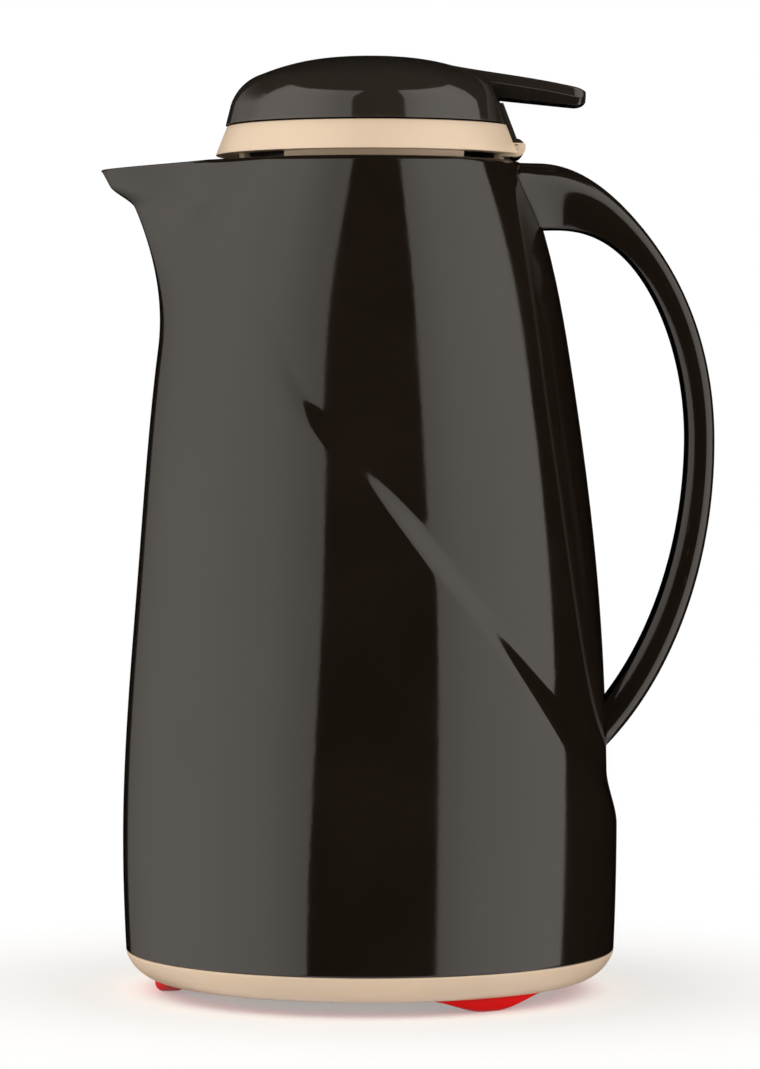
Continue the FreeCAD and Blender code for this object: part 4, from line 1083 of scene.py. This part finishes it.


# Valve spring: an open coil of fixed length; the real spring shortens as the valve lifts

SPRING_RADIUS = 0.0063
SPRING_TURNS = 6
COIL_STEPS = 48
WIRE_SIDES = 12


def spring_mesh():
    """A round wire wound about the valve's stem."""
    wire = spring_high.x - SPRING_RADIUS
    low, high = spring_low.z + wire, spring_high.z - wire
    count = SPRING_TURNS * COIL_STEPS
    sides = spaced(0.0, 2 * pi, WIRE_SIDES)
    rows = []
    for turn, height in zip(through(0.0, 360.0 * SPRING_TURNS, count), through(low, high, count)):
        rows.append([round_point(turn, SPRING_RADIUS + wire * cos(side), height + wire * sin(side))
                     for side in sides])
    return skin(rows)


# Operators. Edges sharper than these angles, in degrees, stay sharp.

CASING_SHARP = 50.0
FEET_SHARP = 45.0
RING_SHARP = 30.0
CAP_SHARP = 40.0
SPRING_SHARP = 60.0


class CARAFE_OT_casing(bpy.types.Operator):
    """Builds the casing and the handle"""

    bl_idname = "carafe.casing"
    bl_label = "Casing and handle"

    def execute(self, context):
        shell = to_object("casing_surface", casing_mesh(), CASING_SHARP)
        settle(shell, "casing", "casing_gloss", "casing_shell")
        loop = to_object("handle_surface", handle_mesh(), CASING_SHARP)
        settle(loop, "casing", "casing_gloss", "handle")
        return {"FINISHED"}


class CARAFE_OT_base(bpy.types.Operator):
    """Builds the pale base cover and the red feet"""

    bl_idname = "carafe.base"
    bl_label = "Base and feet"

    def execute(self, context):
        cover = bevel(to_object("base_cover_surface", cover_mesh(), RING_SHARP), COVER_EDGE)
        settle(cover, "casing", "pale_plastic", "base_cover")
        feet = to_object("foot_ring_surface", foot_mesh(), FEET_SHARP)
        settle(feet, "casing", "red_rubber", "foot_ring")
        return {"FINISHED"}


class CARAFE_OT_lid(bpy.types.Operator):
    """Builds the pale lid ring with its skirt and hinge lugs"""

    bl_idname = "carafe.lid"
    bl_label = "Lid ring"

    def execute(self, context):
        edge = sizes().ring_round
        ring = bevel(to_object("lid_ring_surface", ring_mesh(), RING_SHARP), edge)
        spans = ((LUG_LOW, LUG_HIGH), (-LUG_HIGH, -LUG_LOW))
        lugs = [bevel(to_object("lug", prism(lug_outline(), *span), RING_SHARP), edge) for span in spans]
        unite(ring, lugs, RING_SHARP)
        settle(ring, "lid", "pale_plastic", "lid_ring")
        return {"FINISHED"}


class CARAFE_OT_cap(bpy.types.Operator):
    """Builds the gloss cap with its lever and hinge knuckle"""

    bl_idname = "carafe.cap"
    bl_label = "Cap"

    def execute(self, context):
        dome = to_object("cap_surface", dome_mesh(), CAP_SHARP)
        joined = {
            "lever": lever_mesh(),
            "tongue": prism(tongue_outline(), -TONGUE_HALF, TONGUE_HALF),
            "web": prism(web_outline(), -KNUCKLE_HALF, KNUCKLE_HALF),
        }
        unite(dome, [to_object(name, made, CAP_SHARP) for name, made in joined.items()], CAP_SHARP)
        settle(dome, "cap", "cap_gloss", "cap_shell")
        return {"FINISHED"}


class CARAFE_OT_spring(bpy.types.Operator):
    """Builds the valve's spring as a fixed coil; the real one shortens as the valve lifts"""

    bl_idname = "carafe.spring"
    bl_label = "Valve spring"

    def execute(self, context):
        coil = to_object("valve_spring_coil", spring_mesh(), SPRING_SHARP)
        settle(coil, "lid", "steel", "valve_spring")
        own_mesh(coil)
        return {"FINISHED"}


class CARAFE_OT_inside(bpy.types.Operator):
    """Gives the pieces inside their finishes"""

    bl_idname = "carafe.inside"
    bl_label = "Inner pieces"

    def execute(self, context):
        for part in frame["record"]["subparts"]:
            dress(frame["nodes"][part["node"]], part["material_slot"])
        return {"FINISHED"}


# Stage. Each soft box has its angles at its foot and at its top, and its height.

CAMERA_PLACE = (0.0, -1.241, 0.164)
CAMERA_LENS = 149.5
CAMERA_SHIFT = (0.0095, -0.1249)
WALL_RADIUS = 0.95
WALL_LOW = -0.75
WALL_TURNS = 33
BOXES = (
    ("left_softbox", (-107.0, -35.9), (-107.0, -6.6), 1.45),
    ("left_side", (-150.0, -107.0), (-150.0, -107.0), 0.85),
    ("right_softbox", (30.0, 95.0), (30.0, 106.8), 1.45),
)
BOX_LIGHT = 1.75
BOX_TINT = (1.0, 0.945, 0.88)
BOX_SPREAD = 1.3
REAR_FADE = (70.0, 155.0, 1.0, 0.12)
NEAR_FADE = (20.0, 55.0, 0.7, 1.0)
SIDE_FADE = (101.0, 118.0)
RAISED_FADE = (0.46, 0.80, 0.0, 0.9)
FLAG_RADIUS = 1.0
FLAG_HIGH = 1.6
ALL_ROUND = (0.0, 360.0)
AMBIENT = 0.62
WHITE = (1.0, 1.0, 1.0)
DISC_SIDES = 96
FLOOR_RADIUS = 3.0
FLOOR_LIFT = 0.3
FLOOR_ROUGH = 0.9
FLOOR_FADE = (0.072, 0.20)


def hide(item, *rays):
    """Take a stage object out of the sight of some rays."""
    for ray in rays:
        setattr(item, "visible_" + ray, False)


def upright_wall(name, low_span, high_span, radius, high, material):
    """A curved wall about the axis; its angles run from the camera's side, positive to the right."""
    made = bmesh.new()
    rows = [np.radians(np.linspace(*span, WALL_TURNS)) for span in (low_span, high_span)]
    pairs = [[made.verts.new((radius * sin(turn), -radius * cos(turn), z))
              for turn, z in zip(ends, (WALL_LOW, high))] for ends in zip(*rows)]
    for before, after in zip(pairs, pairs[1:]):
        made.faces.new((before[0], before[1], after[1], after[0]))
    wall = new_object(name, made)
    wall.data.materials.append(material)
    hide(wall, "camera", "shadow")
    return wall


def disc(name, radius, height, material):
    """A level round plate about the axis."""
    made = bmesh.new()
    bmesh.ops.create_circle(made, cap_ends=True, segments=DISC_SIDES, radius=radius)
    plate = new_object(name, made)
    plate.data.materials.append(material)
    plate.location.z = height
    return plate


def glow_material(name, mirrored, spread):
    """A lamp's surface, with one strength in gloss and one for the light it gives."""
    material, tree, _ = new_material(name)
    tree.nodes.clear()
    split = node(tree, "SeparateXYZ")
    feed(split, Vector=node(tree, "TexCoord").outputs["Object"])
    front = times(split.outputs["Y"], -1.0)
    turn = math_node(tree, "ABSOLUTE", math_node(tree, "ARCTAN2", split.outputs["X"], front))

    def by_turn(low, high, *levels):
        return range_node(turn, radians(low), radians(high), *levels)

    corner = times(by_turn(*SIDE_FADE), range_node(split.outputs["Z"], *RAISED_FADE))
    kept = math_node(tree, "SUBTRACT", 1.0, corner)
    level = times(by_turn(*REAR_FADE), by_turn(*NEAR_FADE), kept, mirrored)
    in_gloss = node(tree, "LightPath").outputs["Is Glossy Ray"]
    shown = times(in_gloss, math_node(tree, "SUBTRACT", level, spread))
    glow = node(tree, "Emission")
    feed(glow, Color=BOX_TINT, Strength=math_node(tree, "ADD", shown, spread))
    feed(node(tree, "OutputMaterial"), Surface=glow.outputs[0])
    return material


def floor_material():
    """A pale floor that keeps the shadow near the object and runs out to white."""
    material, tree, shader = new_material("pale_floor")
    seen = node(tree, "LightPath").outputs["Is Camera Ray"]
    feed(shader, Base_Color=colours().floor, Roughness=FLOOR_ROUGH, Specular_IOR_Level=0.0,
         Emission_Color=WHITE, Emission_Strength=times(seen, FLOOR_LIFT))
    far = node(tree, "VectorMath")
    far.operation = "LENGTH"
    feed(far, Vector=node(tree, "TexCoord").outputs["Object"])
    mask = times(range_node(far.outputs["Value"], *FLOOR_FADE), seen)
    mixed_shader(mask, shader, node(tree, "Emission"), tree.nodes["Material Output"])
    return material


def white_world():
    """White to the camera, in gloss and through glass; a plain level of light elsewhere."""
    world = bpy.data.worlds.new("studio")
    world.use_nodes = True
    tree = world.node_tree
    tree.nodes.clear()
    soft, white = node(tree, "Background"), node(tree, "Background")
    feed(soft, Color=WHITE, Strength=AMBIENT)
    feed(white, Color=WHITE)
    rays = node(tree, "LightPath").outputs
    seen = math_node(tree, "MAXIMUM", rays["Is Camera Ray"], rays["Is Glossy Ray"])
    seen = math_node(tree, "MAXIMUM", seen, rays["Is Transmission Ray"])
    mixed_shader(seen, soft, white, node(tree, "OutputWorld"))
    bpy.context.scene.world = world


class CARAFE_OT_stage(bpy.types.Operator):
    """Sets the floor, the light and the camera"""

    bl_idname = "carafe.stage"
    bl_label = "Stage"

    def execute(self, context):
        scene = context.scene
        scene.view_settings.view_transform = "Standard"
        white_world()
        light = glow_material("softbox", BOX_LIGHT, BOX_SPREAD)
        for name, low_span, high_span, high in BOXES:
            upright_wall(name, low_span, high_span, WALL_RADIUS, high, light)
        dark = glow_material("dark_flag", 0.0, 0.0)
        flags = (upright_wall("dark_flag", ALL_ROUND, ALL_ROUND, FLAG_RADIUS, FLAG_HIGH, dark),
                 disc("ceiling_flag", FLAG_RADIUS, FLAG_HIGH, dark))
        for flag in flags:
            hide(flag, "camera", "diffuse", "transmission", "shadow")
        hide(disc("floor", FLOOR_RADIUS, 0.0, floor_material()), "glossy")
        lens = bpy.data.cameras.new("photo_camera")
        lens.lens = CAMERA_LENS
        lens.shift_x, lens.shift_y = CAMERA_SHIFT
        camera = bpy.data.objects.new("photo_camera", lens)
        camera.location = CAMERA_PLACE
        camera.rotation_euler = (pi / 2, 0.0, 0.0)
        scene.collection.objects.link(camera)
        scene.camera = camera
        return {"FINISHED"}


class CARAFE_PT_panel(bpy.types.Panel):
    """Lists the carafe's pieces and sizes."""

    bl_idname = "CARAFE_PT_panel"
    bl_label = "Thermal carafe"
    bl_space_type = "VIEW_3D"
    bl_region_type = "UI"
    bl_category = "Carafe"

    def draw(self, context):
        for step in STEPS:
            self.layout.operator(step.bl_idname)
        for group in (context.scene.carafe_sizes, context.scene.carafe_colours):
            for name in group.__annotations__:
                self.layout.prop(group, name, text=name.replace("_", " ").capitalize())


STEPS = (CARAFE_OT_stage, CARAFE_OT_inside, CARAFE_OT_casing, CARAFE_OT_base, CARAFE_OT_lid, CARAFE_OT_cap,
         CARAFE_OT_spring)
CLASSES = (CarafeSizes, CarafeColours, *STEPS, CARAFE_PT_panel)


def register():
    for item in CLASSES:
        bpy.utils.register_class(item)
    bpy.types.Scene.carafe_sizes = bpy.props.PointerProperty(type=CarafeSizes)
    bpy.types.Scene.carafe_colours = bpy.props.PointerProperty(type=CarafeColours)


def unregister():
    del bpy.types.Scene.carafe_colours
    del bpy.types.Scene.carafe_sizes
    for item in reversed(CLASSES):
        bpy.utils.unregister_class(item)


def main():
    for name in ("Cube", "Light", "Camera"):
        if name in bpy.data.objects:
            bpy.data.objects.remove(bpy.data.objects[name])
    register()
    bpy.ops.carafe.stage()
    bpy.ops.carafe.inside()
    bpy.ops.carafe.casing()
    bpy.ops.carafe.base()
    bpy.ops.carafe.lid()
    bpy.ops.carafe.cap()
    bpy.ops.carafe.spring()


if __name__ == "__main__":
    main()
